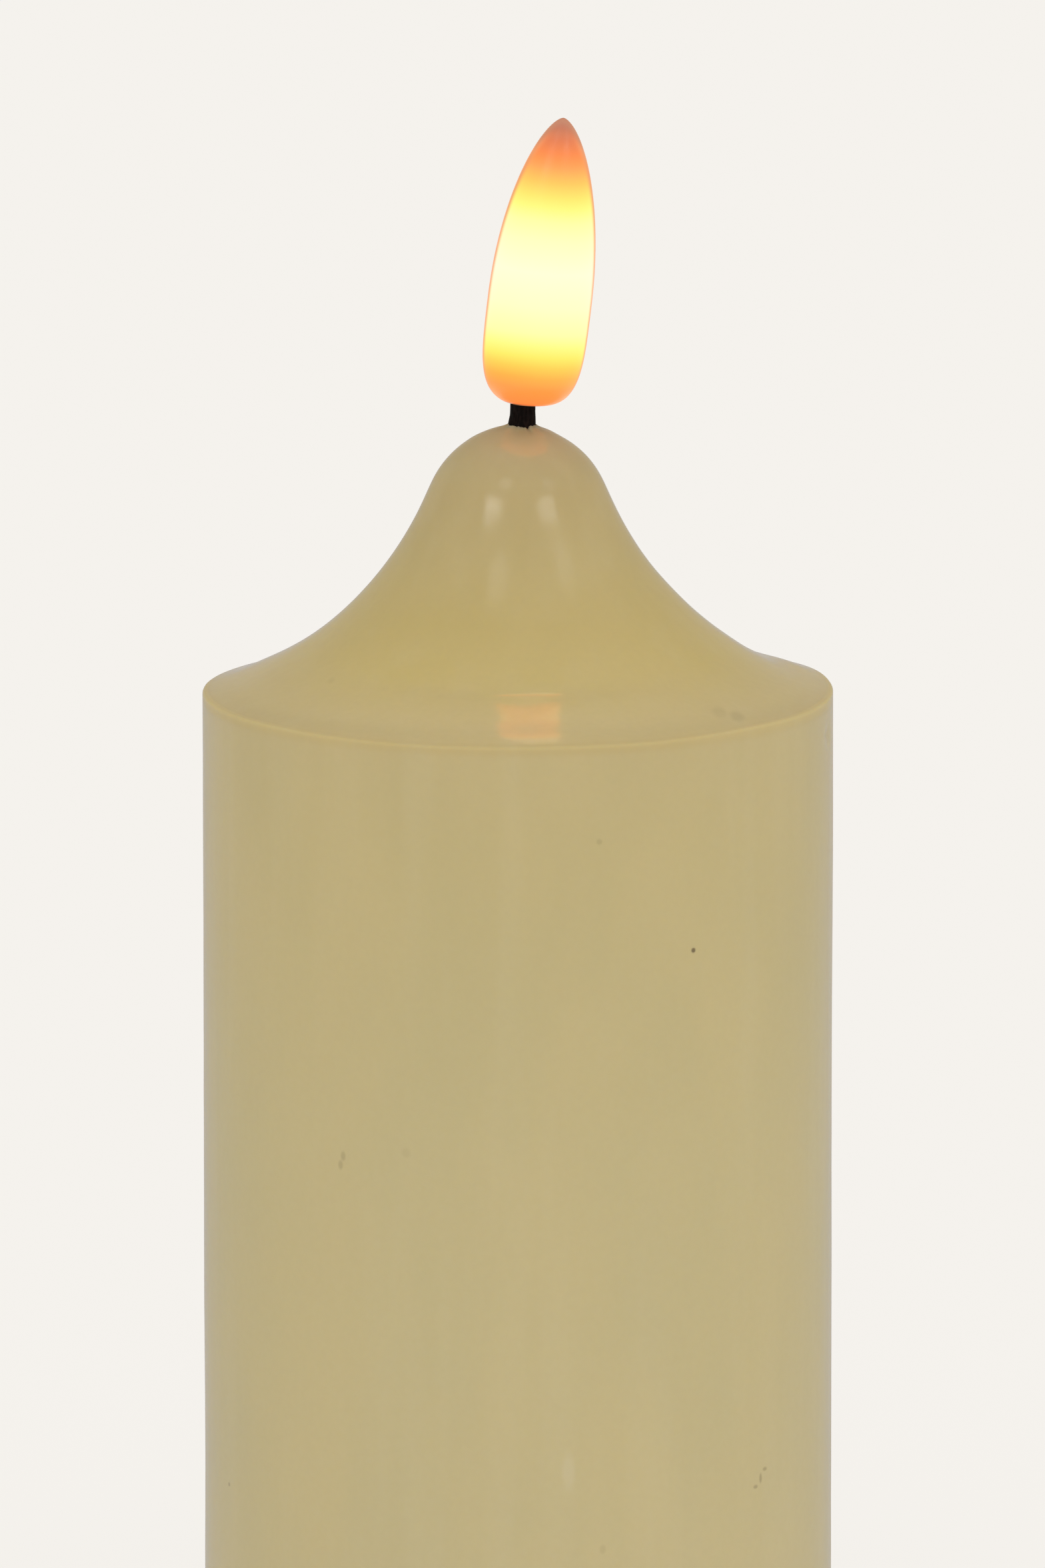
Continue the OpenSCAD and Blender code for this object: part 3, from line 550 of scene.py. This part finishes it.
# The finish of each slot: the function that builds it, and what that is given after the slot's name
FINISHES = {
    "wax": (wax_material,),
    "flame_plastic": (flame_material,),
    "lamp_lens": (lamp_material,),
    "tinned_wire": (metal, (0.62, 0.62, 0.6, 1), 0.25, (1, 1, 6)),
    "shrink_tube": (wire_material, (0.015, 0.015, 0.016, 1)),
    "wick_black": (wick_material,),
    "holder_plastic": (moulded_plastic, linear(228, 220, 196), 0.45),
    "red_wire": (wire_material, (0.38, 0.02, 0.012, 1)),
    "black_wire": (wire_material, (0.012, 0.012, 0.013, 1)),
    "hot_glue": (glue_material,),
    "case_plastic": (moulded_plastic, IVORY, 0.46, 0.45, 0.02, 0.03),
    "screw_steel": (metal, (0.56, 0.56, 0.57, 1), 0.3, (1, 1, 1), 0.3),
    "black_rubber": (moulded_plastic, (0.018, 0.018, 0.018, 1), 0.72, 0.25, 0.02, 0.2),
    "board_green": (board_material,),
    "chip_black": (moulded_plastic, (0.02, 0.02, 0.022, 1), 0.6, 0.12, 0.01, 0.2),
    "crystal_steel": (metal, (0.64, 0.65, 0.67, 1), 0.2, (6, 1, 1), 0.3),
    "capacitor_ceramic": (moulded_plastic, linear(176, 144, 102), 0.6, 0.12, 0.01, 0.15),
    "capacitor_sleeve": (moulded_plastic, (0.02, 0.035, 0.09, 1), 0.3, 0.5, 0.01, 0.2),
    "switch_steel": (metal, (0.6, 0.6, 0.62, 1), 0.32, (6, 1, 1), 0.3),
    "wafer_brown": (moulded_plastic, (0.2, 0.09, 0.035, 1), 0.55, 0.2, 0.01, 0.2),
    "slider_black": (moulded_plastic, (0.03, 0.03, 0.032, 1), 0.5, 0.2, 0.01, 0.2),
    "contact_brass": (metal, (0.72, 0.5, 0.2, 1), 0.28, (6, 1, 1), 0.3),
    "contact_nickel": (metal, (0.62, 0.61, 0.57, 1), 0.26, (1, 6, 1), 0.4),
    "spring_steel": (metal, (0.58, 0.58, 0.57, 1), 0.24, (1, 1, 1), 0.3),
    "cell_jacket": (cell_material,),
    "door_plastic": (moulded_plastic, DOOR_IVORY, 0.46, 0.45, 0.02, 0.03),
}
FINISHED = {}


def finish(slot):
    """The material of a slot, which is built the first time that it is asked for."""
    if slot not in FINISHED:
        build, *settings = FINISHES[slot]
        FINISHED[slot] = build(slot, *settings)
    return FINISHED[slot]


# ---- Wax -----------------------------------------------------------------------------------------

# The bell's curves, as in the CAD part, in mm and degrees below the horizontal
DOME_R, NECK_R, SKIRT_R, RIM_R = 11.2, 43.4, 38.7, 0.4
NECK_SLOPE, SKIRT_SLOPE, SHOULDER_SLOPE = 68.3, 44.8, 17.2
WAX_WALL = 5.0
FOOT_ROUND = 0.8
HOLDER_BORE_R, HOLDER_TOP = 2.25, 1.4
FLANGE_R, PLATE_TOP = 34.2, 2.7
WICK_FIT = 0.02
WAX_SIDES = 288
# Distance between the rings on the bell, and how far its changes of curvature are softened, in mm
BELL_STEP, BELL_BLUR = 0.32, 1.0


def arc(centre, radius, start, end, count):
    """Points of an arc in (radius, height), from one angle to another in degrees, without its last."""
    steps = np.radians(np.linspace(start, end, count, endpoint=False))
    return [(centre[0] + radius * math.cos(a), centre[1] + radius * math.sin(a)) for a in steps]


def outward(slope):
    """Direction in (radius, height) that a surface faces which falls by slope degrees."""
    return np.array((math.sin(math.radians(slope)), math.cos(math.radians(slope))))


def straight(start, end, count):
    """Evenly spaced points of a straight line, without its last."""
    return [tuple(p) for p in np.linspace(start, end, count, endpoint=False)]


def wax_profile():
    """(outside, inside) of the wax as (radius, height) in mm: from the wick's hole out over the bell and
    down, and then from the lower edge up to the seat of the wick holder."""
    top, wall_r, foot = WAX_TOP / MM, WAX_R / MM, wax_low.z / MM
    dome = np.array((0, top - DOME_R))
    neck = dome + (DOME_R + NECK_R) * outward(NECK_SLOPE)
    skirt = neck + (SKIRT_R - NECK_R) * outward(SKIRT_SLOPE)
    shoulder = skirt - SKIRT_R * outward(SHOULDER_SLOPE)
    down = np.array((math.cos(math.radians(SHOULDER_SLOPE)), -math.sin(math.radians(SHOULDER_SLOPE))))
    run = (wall_r - RIM_R * (1 - math.sin(math.radians(SHOULDER_SLOPE))) - shoulder[0]) / down[0]
    rim = shoulder + run * down - RIM_R * outward(SHOULDER_SLOPE)
    hole = math.degrees(math.acos((WICK_R / MM + WICK_FIT) / DOME_R))
    bell = eased_line(
        arc(dome, DOME_R, hole, 90 - NECK_SLOPE, 40)
        + arc(neck, NECK_R, 270 - NECK_SLOPE, 270 - SKIRT_SLOPE, 40)
        + arc(skirt, SKIRT_R, 270 - SKIRT_SLOPE, 270 - SHOULDER_SLOPE, 40)
        + [tuple(shoulder), tuple(shoulder + run * down)], BELL_STEP, BELL_BLUR)
    outside = (
        bell[:-1]
        + arc(rim, RIM_R, 90 - SHOULDER_SLOPE, 0, 8)
        + straight((wall_r, rim[1]), (wall_r, foot + FOOT_ROUND), 92)
        + arc((wall_r - FOOT_ROUND, foot + FOOT_ROUND), FOOT_ROUND, 0, -90, 8)
    )
    bore = wall_r - WAX_WALL
    seat = dome + (DOME_R - WAX_WALL) * outward(NECK_SLOPE)
    end_slope = math.degrees(math.asin((skirt[0] - bore) / (SKIRT_R + WAX_WALL)))
    bore_top = skirt[1] - (SKIRT_R + WAX_WALL) * math.cos(math.radians(end_slope))
    inside = (
        straight((wall_r - FOOT_ROUND, foot), (FLANGE_R, foot), 3)
        + straight((FLANGE_R, foot), (FLANGE_R, PLATE_TOP), 3)
        + straight((FLANGE_R, PLATE_TOP), (bore, PLATE_TOP), 3)
        + straight((bore, PLATE_TOP), (bore, bore_top), 40)
        + arc(skirt, SKIRT_R + WAX_WALL, 270 - end_slope, 270 - SKIRT_SLOPE, 20)
        + arc(neck, NECK_R + WAX_WALL, 270 - SKIRT_SLOPE, 270 - NECK_SLOPE, 20)
        + straight(seat, (HOLDER_BORE_R, seat[1]), 4)
        + straight((HOLDER_BORE_R, seat[1]), (HOLDER_BORE_R, top - HOLDER_TOP), 4)
        + straight((HOLDER_BORE_R, top - HOLDER_TOP), (WICK_R / MM + WICK_FIT, top - HOLDER_TOP), 2)
    )
    return outside, inside


# How far the front of the bell stands above the turned shape, or below it where less than 0, as (radius,
# rise) in mm
FRONT_RISE = [
    (11, 0.0), (15, -0.235), (19, -0.69), (22, -0.94), (24, -1.01), (25.4, -0.99), (26, -0.957),
    (26.5, -0.874), (27, -0.74), (28, -0.468), (29, -0.278), (30, -0.16), (31, -0.086), (32, -0.057),
    (33, -0.029), (34, -0.009), (35, -0.004), (36, -0.066), (37.5, -0.29),
]
# How far each way from the front that goes, and how far each way the raised right side goes, in degrees
FRONT_REACH = 62
RIGHT_REACH = 70
# Where the shoulder's rim is raised, or lowered where less than 0: (angle, half width, rise in mm)
RIM_LIPS = [(150, 30, -0.2), (14, 34, 0.42), (205, 18, -0.1), (330, 16, -0.1)]
# Slight swelling all over the wax: (grain round the candle, grain up it, seed, size), in mm
SWELLS = [(22, 34, 1, 0.10), (5, 16, 3, 0.035), (1.6, 5, 5, 0.012)]
SWELL_LIMIT = 0.05


def through(points, x):
    """Height at x of a smooth curve through points."""
    if x <= points[0][0]:
        return points[0][1]
    if x >= points[-1][0]:
        return points[-1][1]
    i = max(k for k in range(len(points) - 1) if points[k][0] <= x)

    def slope(k):
        a, b = points[max(k - 1, 0)], points[min(k + 1, len(points) - 1)]
        return 0.0 if k == 0 else (b[1] - a[1]) / (b[0] - a[0])
    (x0, y0), (x1, y1) = points[i], points[i + 1]
    h, t = x1 - x0, (x - x0) / (x1 - x0)
    return ((2 * t**3 - 3 * t**2 + 1) * y0 + (t**3 - 2 * t**2 + t) * h * slope(i)
            + (3 * t**2 - 2 * t**3) * y1 + (t**3 - t**2) * h * slope(i + 1))


def eased_line(points, step, blur):
    """The points of a line again, evenly spaced and with its changes of curvature softened."""
    points = np.array(points)
    along = np.concatenate([[0], np.cumsum(np.hypot(*np.diff(points, axis=0).T))])
    count = int(along[-1] / step)
    where = np.linspace(0, along[-1], count + 1)
    even = np.stack([np.interp(where, along, points[:, k]) for k in (0, 1)], 1)
    reach = np.minimum(np.minimum(where, along[-1] - where) / 3, blur)
    soft = []
    for w, r in zip(where, reach):
        weight = np.exp(-((where - w) / max(r, 1e-6)) ** 2 / 2)
        soft.append((weight[:, None] * even).sum(0) / weight.sum())
    return [tuple(p) for p in soft]


def front_share(angle):
    """1 at the candle's front and 0 at its sides and back. angle 0 is +X."""
    return ease(1 - abs(angle_off(angle, 270)) / FRONT_REACH)


def rim_drop(radius, angle):
    """How far the bell and its shoulder lie below the turned shape, in mm, at a radius and angle."""
    front = front_share(angle) * -through(FRONT_RISE, radius)
    # The rim waves slightly all round and rises or falls in a few places, and the right side lies higher
    wave = 0.16 * noise_at(2.2 * math.cos(math.radians(angle)), 2.2 * math.sin(math.radians(angle)), 0.3, 2)
    lip = 0.0
    for centre, width, height in RIM_LIPS:
        lip += height * ease(1 - abs(angle_off(angle, centre)) / width)
    edge = ease((radius - 30.5) / 4.5)
    hollow = ease((radius - 25) / 4) * ease((35.5 - radius) / 3)
    to_right = ease(1 - abs(angle_off(angle, 0)) / RIGHT_REACH)
    right = 0.24 * ease((radius - 14) / 6) * ease((37 - radius) / 5) * to_right
    return front + edge * (wave - lip) + 0.35 * hollow * lip - right


def wax_point(radius, height, angle, outside):
    """A point of the wax, in mm, with the unevenness that pouring and finishing leave."""
    c, s = math.cos(math.radians(angle)), math.sin(math.radians(angle))
    to_wick = 1 - ease((radius - 2.2) / 3.5)
    rim_z = WAX_TOP / MM - 31.7
    if outside:
        on_bell = ease((height - rim_z + 5) / 4)
        height -= on_bell * rim_drop(radius, angle)
        swell = 0.0
        for grain, grain_up, seed, size in SWELLS:
            swell += size * noise_at(c * radius / grain, s * radius / grain, height / grain_up, seed)
        fade = ease((radius - 1.6) / 4)
        radius += min(swell, SWELL_LIMIT) * fade
        # Wax creeps raggedly up the wick, with a notch at its front right
        climb = math.exp(-max(radius - 1.57, 0) / 0.45)
        ragged = noise_at(2.2 * c, 2.2 * s, 0.0, 9) + 0.6 * noise_at(6 * c, 6 * s, 0.0, 10)
        notch = ease(1 - abs(angle_off(angle, 290)) / 14)
        height += climb * (0.22 * ragged + 0.34 - 0.3 * notch)
        # The dome's top is a little fuller beside the wick, and the right side has a dent below the shoulder
        height += 0.3 * math.exp(-((c * radius + 3.0) ** 2 + (s * radius) ** 2) / 5)
        dent = math.exp(-(((c * radius - 36.8) / 1.0) ** 2 + ((s * radius + 7.2) / 1.2) ** 2
                          + ((height - 114) / 0.9) ** 2))
        radius -= 0.35 * dent
    return (c * radius + to_wick * WICK_X / MM, s * radius, height)


def make_wax():
    outside, inside = wax_profile()
    angles = np.linspace(0, 360, WAX_SIDES, endpoint=False)
    rings = [[wax_point(r, z, a, True) for a in angles] for r, z in outside]
    rings += [[wax_point(r, z, a, False) for a in angles] for r, z in inside]
    mesh = loft_mesh("wax_pillar", np.array(rings) * MM, closed=True)
    smooth(mesh, 50)
    wax = add_object("wax_pillar", mesh, "candle", "wax")
    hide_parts("wax_body")


# ---- Flame and wick ------------------------------------------------------------------------------

# Width in mm, depth as a share of the width, sideways sweep and bow in mm, and wall in mm
FLAME_W, FLAME_DEPTH, FLAME_SWEEP, FLAME_BOW, FLAME_WALL = 12.36, 0.92, 0.96, 0.1, 1.0
# The flame's widest place as a share of its length, and the powers that shape it below and above that
FLAME_BELLY = 0.365
FOOT_POWER, FOOT_ROOT = 4, 0.3
TIP_POWER, TIP_ROOT = 2, 0.635
# Gap round the wick, solid length at the tip and the cavity's least radius, in mm
FLAME_HOLE_FIT, FLAME_TIP_SOLID, CAVITY_LEAST_R = 0.06, 5, 0.25
FLAME_SIDES = 128


def flame_radius(s):
    """Half width of the flame at height s above its foot, in mm."""
    length = FLAME_LENGTH / MM
    belly = FLAME_BELLY * length
    if s < belly:
        return FLAME_W / 2 * (1 - (1 - s / belly) ** FOOT_POWER) ** FOOT_ROOT
    return FLAME_W / 2 * (1 - ((s - belly) / (length - belly)) ** TIP_POWER) ** TIP_ROOT


def flame_ring(s, radius, upright=False):
    """Ring of the flame in the candle's frame, in metres. An upright one goes round the wick."""
    wick_r = WICK_R / MM
    offset = (FLAME_FOOT.x - WICK_X) / MM
    if upright:
        cx = -(offset + s * math.sin(FLAME_LEAN)) / math.cos(FLAME_LEAN)
        depth = radius
    else:
        t = s / (FLAME_LENGTH / MM)
        near_wick = max(0, 1 - (radius - wick_r) / 3) if t < FLAME_BELLY else 0
        cx = FLAME_SWEEP * t - offset * near_wick ** 2 - FLAME_BOW * math.sin(math.pi * t)
        depth = radius * (1 - (1 - FLAME_DEPTH) * min(1, s / 8))
    points = []
    for k in range(FLAME_SIDES):
        a = 2 * math.pi * k / FLAME_SIDES
        local = Vector((cx + radius * math.cos(a), depth * math.sin(a), s)) * MM
        turned = Vector((local.x * math.cos(FLAME_LEAN) + local.z * math.sin(FLAME_LEAN), local.y,
                         -local.x * math.sin(FLAME_LEAN) + local.z * math.cos(FLAME_LEAN)))
        points.append(FLAME_FOOT + turned)
    return points


def make_flame():
    length = FLAME_LENGTH / MM
    hole = WICK_R / MM + FLAME_HOLE_FIT
    outer_s = [length * (1 - math.cos(math.radians(min(2 * i, 179)))) / 2 for i in range(1, 91)]
    cavity = length - FLAME_TIP_SOLID
    inner_s = [FLAME_WALL + cavity * (1 - math.cos(math.radians(min(3 * i, 176)))) / 2
               for i in range(59, 0, -1)]
    belly = FLAME_BELLY * length
    rings = [flame_ring(s, max(flame_radius(s) - FLAME_WALL, CAVITY_LEAST_R)) for s in inner_s
             if s > belly or flame_radius(s) - FLAME_WALL > hole + 0.1]
    rings += [flame_ring(FLAME_WALL, hole, True), flame_ring(0, hole, True)]
    rings += [flame_ring(s, flame_radius(s)) for s in outer_s if s > belly or flame_radius(s) > hole + 0.1]
    mesh = loft_mesh("moulded_flame", rings)
    flame = add_object("moulded_flame", smooth(mesh, 60), "candle", "flame_plastic")
    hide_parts("flame_shell")


WICK_BORE_R = 1.05
WICK_STRANDS = 11
WICK_SIDES = 88
WICK_RINGS = 90


def make_wick():
    """Black sleeve with twisted strands, a little wider where it meets the wax."""
    low, high = wick_low.z / MM, wick_high.z / MM
    foot = WAX_TOP / MM
    heights = np.linspace(low, high, WICK_RINGS)
    rings = []
    for z in heights:
        out = ease((z - foot + 0.9) / 0.5)
        flare = 0.11 * math.exp(-((z - foot - 0.3) / 0.9) ** 2) * out
        ring = []
        for k in range(WICK_SIDES):
            a = 2 * math.pi * k / WICK_SIDES
            strand = abs(math.sin((WICK_STRANDS * a + z * 3.1) / 2))
            rough = noise_at(2.3 * math.cos(a), 2.3 * math.sin(a), z * 1.3, 4)
            r = WICK_R / MM - 0.09 + out * (0.05 * strand + 0.035 * rough) + flare * (1.3 - math.cos(a))
            ring.append((WICK_X / MM + r * math.cos(a), r * math.sin(a), z))
        rings.append(ring)
    for z in (high, low):
        rings.append([(WICK_X / MM + WICK_BORE_R * math.cos(2 * math.pi * k / WICK_SIDES),
                       WICK_BORE_R * math.sin(2 * math.pi * k / WICK_SIDES), z) for k in range(WICK_SIDES)])
    mesh = loft_mesh("wick_sleeve", np.array(rings) * MM, closed=True)
    wick = add_object("wick_sleeve", smooth(mesh, 50), "candle", "wick_black")
    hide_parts("wick_tube")


# ---- Battery springs -----------------------------------------------------------------------------

SPRING_WIRE_R = 0.35 * MM
SPRING_TURNS = 3.5
# Radius of the coil at its wide end, and how much less it is at the other, in mm
SPRING_WIDE_R, SPRING_TAPER = 3.2, 1.4
SPRING_SIDES = 16
SPRING_POINTS = 168


def make_spring(name, node, wide_end):
    """Round-wire conical spring in the place of a CAD one. wide_end is -1 or +1 along X."""
    low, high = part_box(node)
    start = high.x if wide_end > 0 else low.x
    length = high.x - low.x - 2 * SPRING_WIRE_R
    centre_y, centre_z = (low.y + high.y) / 2, (low.z + high.z) / 2
    line = []
    for i in range(SPRING_POINTS + 1):
        t = i / SPRING_POINTS
        a = 2 * math.pi * SPRING_TURNS * t
        r = (SPRING_WIDE_R - SPRING_TAPER * t) * MM
        line.append(Vector((start - wide_end * (SPRING_WIRE_R + length * t),
                            centre_y + r * math.cos(a), centre_z + r * math.sin(a))))
    rings = []
    for i, p in enumerate(line):
        along = (line[min(i + 1, SPRING_POINTS)] - line[max(i - 1, 0)]).normalized()
        u = along.cross(Vector((1, 0, 0))).normalized()
        v = u.cross(along)
        turns = [2 * math.pi * k / SPRING_SIDES for k in range(SPRING_SIDES)]
        rings.append([p + SPRING_WIRE_R * (u * math.cos(turn) + v * math.sin(turn)) for turn in turns])
    spring = add_object(name, loft_mesh(name, rings), "candle", "spring_steel")
    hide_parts(node)


# ---- Stage, camera and lights --------------------------------------------------------------------

STUDIO = linear(244, 241, 236)
FLOOR_HALF = 12.0
# How bright the floor glows by itself, and how much of it is matt and takes the candle's shade
FLOOR_GLOW, FLOOR_MATT = 1.03, 0.12


def make_floor():
    """A plain pale floor that the camera sees from above and sees through from below."""
    mesh = bpy.data.meshes.new("studio_floor")
    corners = [(x * FLOOR_HALF, y * FLOOR_HALF, 0) for x, y in ((-1, -1), (1, -1), (1, 1), (-1, 1))]
    mesh.from_pydata(corners, [], [(0, 1, 2, 3)])
    floor = bpy.data.objects.new("studio_floor", mesh)
    bpy.context.scene.collection.objects.link(floor)
    material = bpy.data.materials.new("studio_floor")
    material.use_nodes = True
    tree = material.node_tree
    tree.nodes.clear()
    output = tree.nodes.new("ShaderNodeOutputMaterial")
    geometry = tree.nodes.new("ShaderNodeNewGeometry")
    clear = tree.nodes.new("ShaderNodeBsdfTransparent")
    glow = tree.nodes.new("ShaderNodeEmission")
    matt = tree.nodes.new("ShaderNodeBsdfDiffuse")
    blend = tree.nodes.new("ShaderNodeMixShader")
    sides = tree.nodes.new("ShaderNodeMixShader")
    glow.inputs["Color"].default_value = STUDIO
    glow.inputs["Strength"].default_value = FLOOR_GLOW
    matt.inputs["Color"].default_value = STUDIO
    blend.inputs[0].default_value = FLOOR_MATT
    tree.links.new(glow.outputs[0], blend.inputs[1])
    tree.links.new(matt.outputs[0], blend.inputs[2])
    tree.links.new(geometry.outputs["Backfacing"], sides.inputs[0])
    tree.links.new(blend.outputs[0], sides.inputs[1])
    tree.links.new(clear.outputs[0], sides.inputs[2])
    tree.links.new(sides.outputs[0], output.inputs["Surface"])
    mesh.materials.append(material)
    floor.visible_diffuse = False
    floor.visible_glossy = False
    floor.visible_shadow = False
    floor.visible_transmission = False


def make_world():
    """Soft white light from all round, strongest from the front and weakest from behind. Reflections see a
    dimmer room, warm above, with a paler floor."""
    world = bpy.data.worlds.new("studio")
    world.use_nodes = True
    bpy.context.scene.world = world
    tree = world.node_tree
    tree.nodes.clear()
    output = tree.nodes.new("ShaderNodeOutputWorld")
    path = tree.nodes.new("ShaderNodeLightPath")
    place = tree.nodes.new("ShaderNodeTexCoord")
    split = tree.nodes.new("ShaderNodeSeparateXYZ")
    tree.links.new(place.outputs["Generated"], split.inputs[0])
    front = tree.nodes.new("ShaderNodeVectorMath")
    front.operation = "DOT_PRODUCT"
    tree.links.new(place.outputs["Generated"], front.inputs[0])
    front.inputs[1].default_value = (0.2, -0.98, 0)
    sides = {"front": front.outputs["Value"], "up": split.outputs["Z"]}

    def level(side, low, high, at_low, at_high):
        """A value that changes smoothly with how far a direction points to one side, from -1 to 1."""
        made = tree.nodes.new("ShaderNodeMapRange")
        made.interpolation_type = "SMOOTHSTEP"
        for key, value in zip(RANGE_SOCKETS, (low, high, at_low, at_high)):
            made.inputs[key].default_value = value
        tree.links.new(sides[side], made.inputs["Value"])
        return made.outputs["Result"]

    def background(colour, strength):
        made = tree.nodes.new("ShaderNodeBackground")
        for key, value in (("Color", colour), ("Strength", strength)):
            if isinstance(value, bpy.types.NodeSocket):
                tree.links.new(value, made.inputs[key])
            else:
                made.inputs[key].default_value = value
        return made.outputs[0]

    def choose(factor, no, yes):
        made = tree.nodes.new("ShaderNodeMixShader")
        tree.links.new(factor, made.inputs[0])
        tree.links.new(no, made.inputs[1])
        tree.links.new(yes, made.inputs[2])
        return made.outputs[0]

    warmer = tree.nodes.new("ShaderNodeMix")
    warmer.data_type = "RGBA"
    tree.links.new(level("up", -0.12, 0.08, 0.0, 1.0), warmer.inputs["Factor"])
    warmer.inputs["A"].default_value = (1.0, 0.96, 0.95, 1)
    warmer.inputs["B"].default_value = (1.0, 0.88, 0.7, 1)
    diffuse = background((1, 1, 1, 1), level("front", -1.0, 1.0, 0.66, 1.04))
    around = background(warmer.outputs["Result"], level("up", 0.05, 0.65, 0.5, 0.22))
    below = background((1, 1, 1, 1), level("up", -0.5, -0.3, 0.55, 0.0))
    mirrored = tree.nodes.new("ShaderNodeAddShader")
    tree.links.new(around, mirrored.inputs[0])
    tree.links.new(below, mirrored.inputs[1])
    seen = background(STUDIO, 1.0)
    light = choose(path.outputs["Is Glossy Ray"], diffuse, mirrored.outputs[0])
    tree.links.new(choose(path.outputs["Is Camera Ray"], light, seen), output.inputs["Surface"])


LAMP_DISTANCE = 1.6
LAMP_AIM = Vector((0, 0, WAX_TOP - 15 * MM))
# Soft lamps in front of the candle: name, azimuth and elevation in degrees, (width, height) in m, power in W
LAMPS = [
    ("key_left", -33.5, 35, (0.72, 0.14), 1.3),
    ("key_right", 39.5, 34.8, (0.72, 0.14), 1.0),
    ("high_left", -24, 54, (0.4, 0.4), 0.5),
    ("high_right", 55, 47, (0.4, 0.4), 0.35),
]


def add_light(name, azimuth, elevation, size, power):
    """An oval lamp that gives highlights and no diffuse light. azimuth 0 is in front and 90 is +X."""
    data = bpy.data.lights.new(name, "AREA")
    data.shape = "ELLIPSE"
    data.size, data.size_y = size
    data.energy = power
    lamp = bpy.data.objects.new(name, data)
    a, e = math.radians(azimuth), math.radians(elevation)
    way = Vector((math.sin(a) * math.cos(e), -math.cos(a) * math.cos(e), math.sin(e)))
    lamp.location = LAMP_AIM + way * LAMP_DISTANCE
    lamp.rotation_euler = way.to_track_quat("Z", "Y").to_euler()
    lamp.visible_diffuse = False
    bpy.context.scene.collection.objects.link(lamp)


CAMERA_PITCH = math.radians(10.3)
CAMERA_DISTANCE = 2.7
SENSOR_MM = 36
# How much the frame's height takes in at the candle, in metres
FRAME_HEIGHT = 0.18665
CAMERA_AIM = Vector((0.56 * MM, 0, WAX_TOP - 43.13 * MM))


def make_camera():
    data = bpy.data.cameras.new("camera")
    data.sensor_width = SENSOR_MM
    data.lens = SENSOR_MM * CAMERA_DISTANCE / FRAME_HEIGHT
    data.clip_start, data.clip_end = 0.1, 60
    camera = bpy.data.objects.new("camera", data)
    back = Vector((0, -math.cos(CAMERA_PITCH), math.sin(CAMERA_PITCH)))
    camera.location = CAMERA_AIM + back * CAMERA_DISTANCE
    camera.rotation_euler = back.to_track_quat("Z", "Y").to_euler()
    bpy.context.scene.collection.objects.link(camera)
    bpy.context.scene.camera = camera


# ---- The candle ----------------------------------------------------------------------------------

bpy.context.scene.view_settings.view_transform = "Standard"
bpy.context.scene.view_settings.look = "None"
make_camera()
make_floor()
make_world()
for lamp_settings in LAMPS:
    add_light(*lamp_settings)

make_wax()
make_flame()
make_wick()
make_spring("negative_coil", "negative_spring", -1)
make_spring("bridge_coil", "bridge_spring", 1)
softened("base_housing", 0.18 * MM, "module_case", "candle")
softened("battery_door", 0.16 * MM, "door_panel", "door")
softened("switch_slider", 0.1 * MM, "switch_knob", "switch")
softened("module_lid", 0.2 * MM, "module_cover", "candle")

for node, piece in NODES.items():
    piece.data.materials.clear()
    piece.data.materials.append(finish(SLOT_OF[node]))
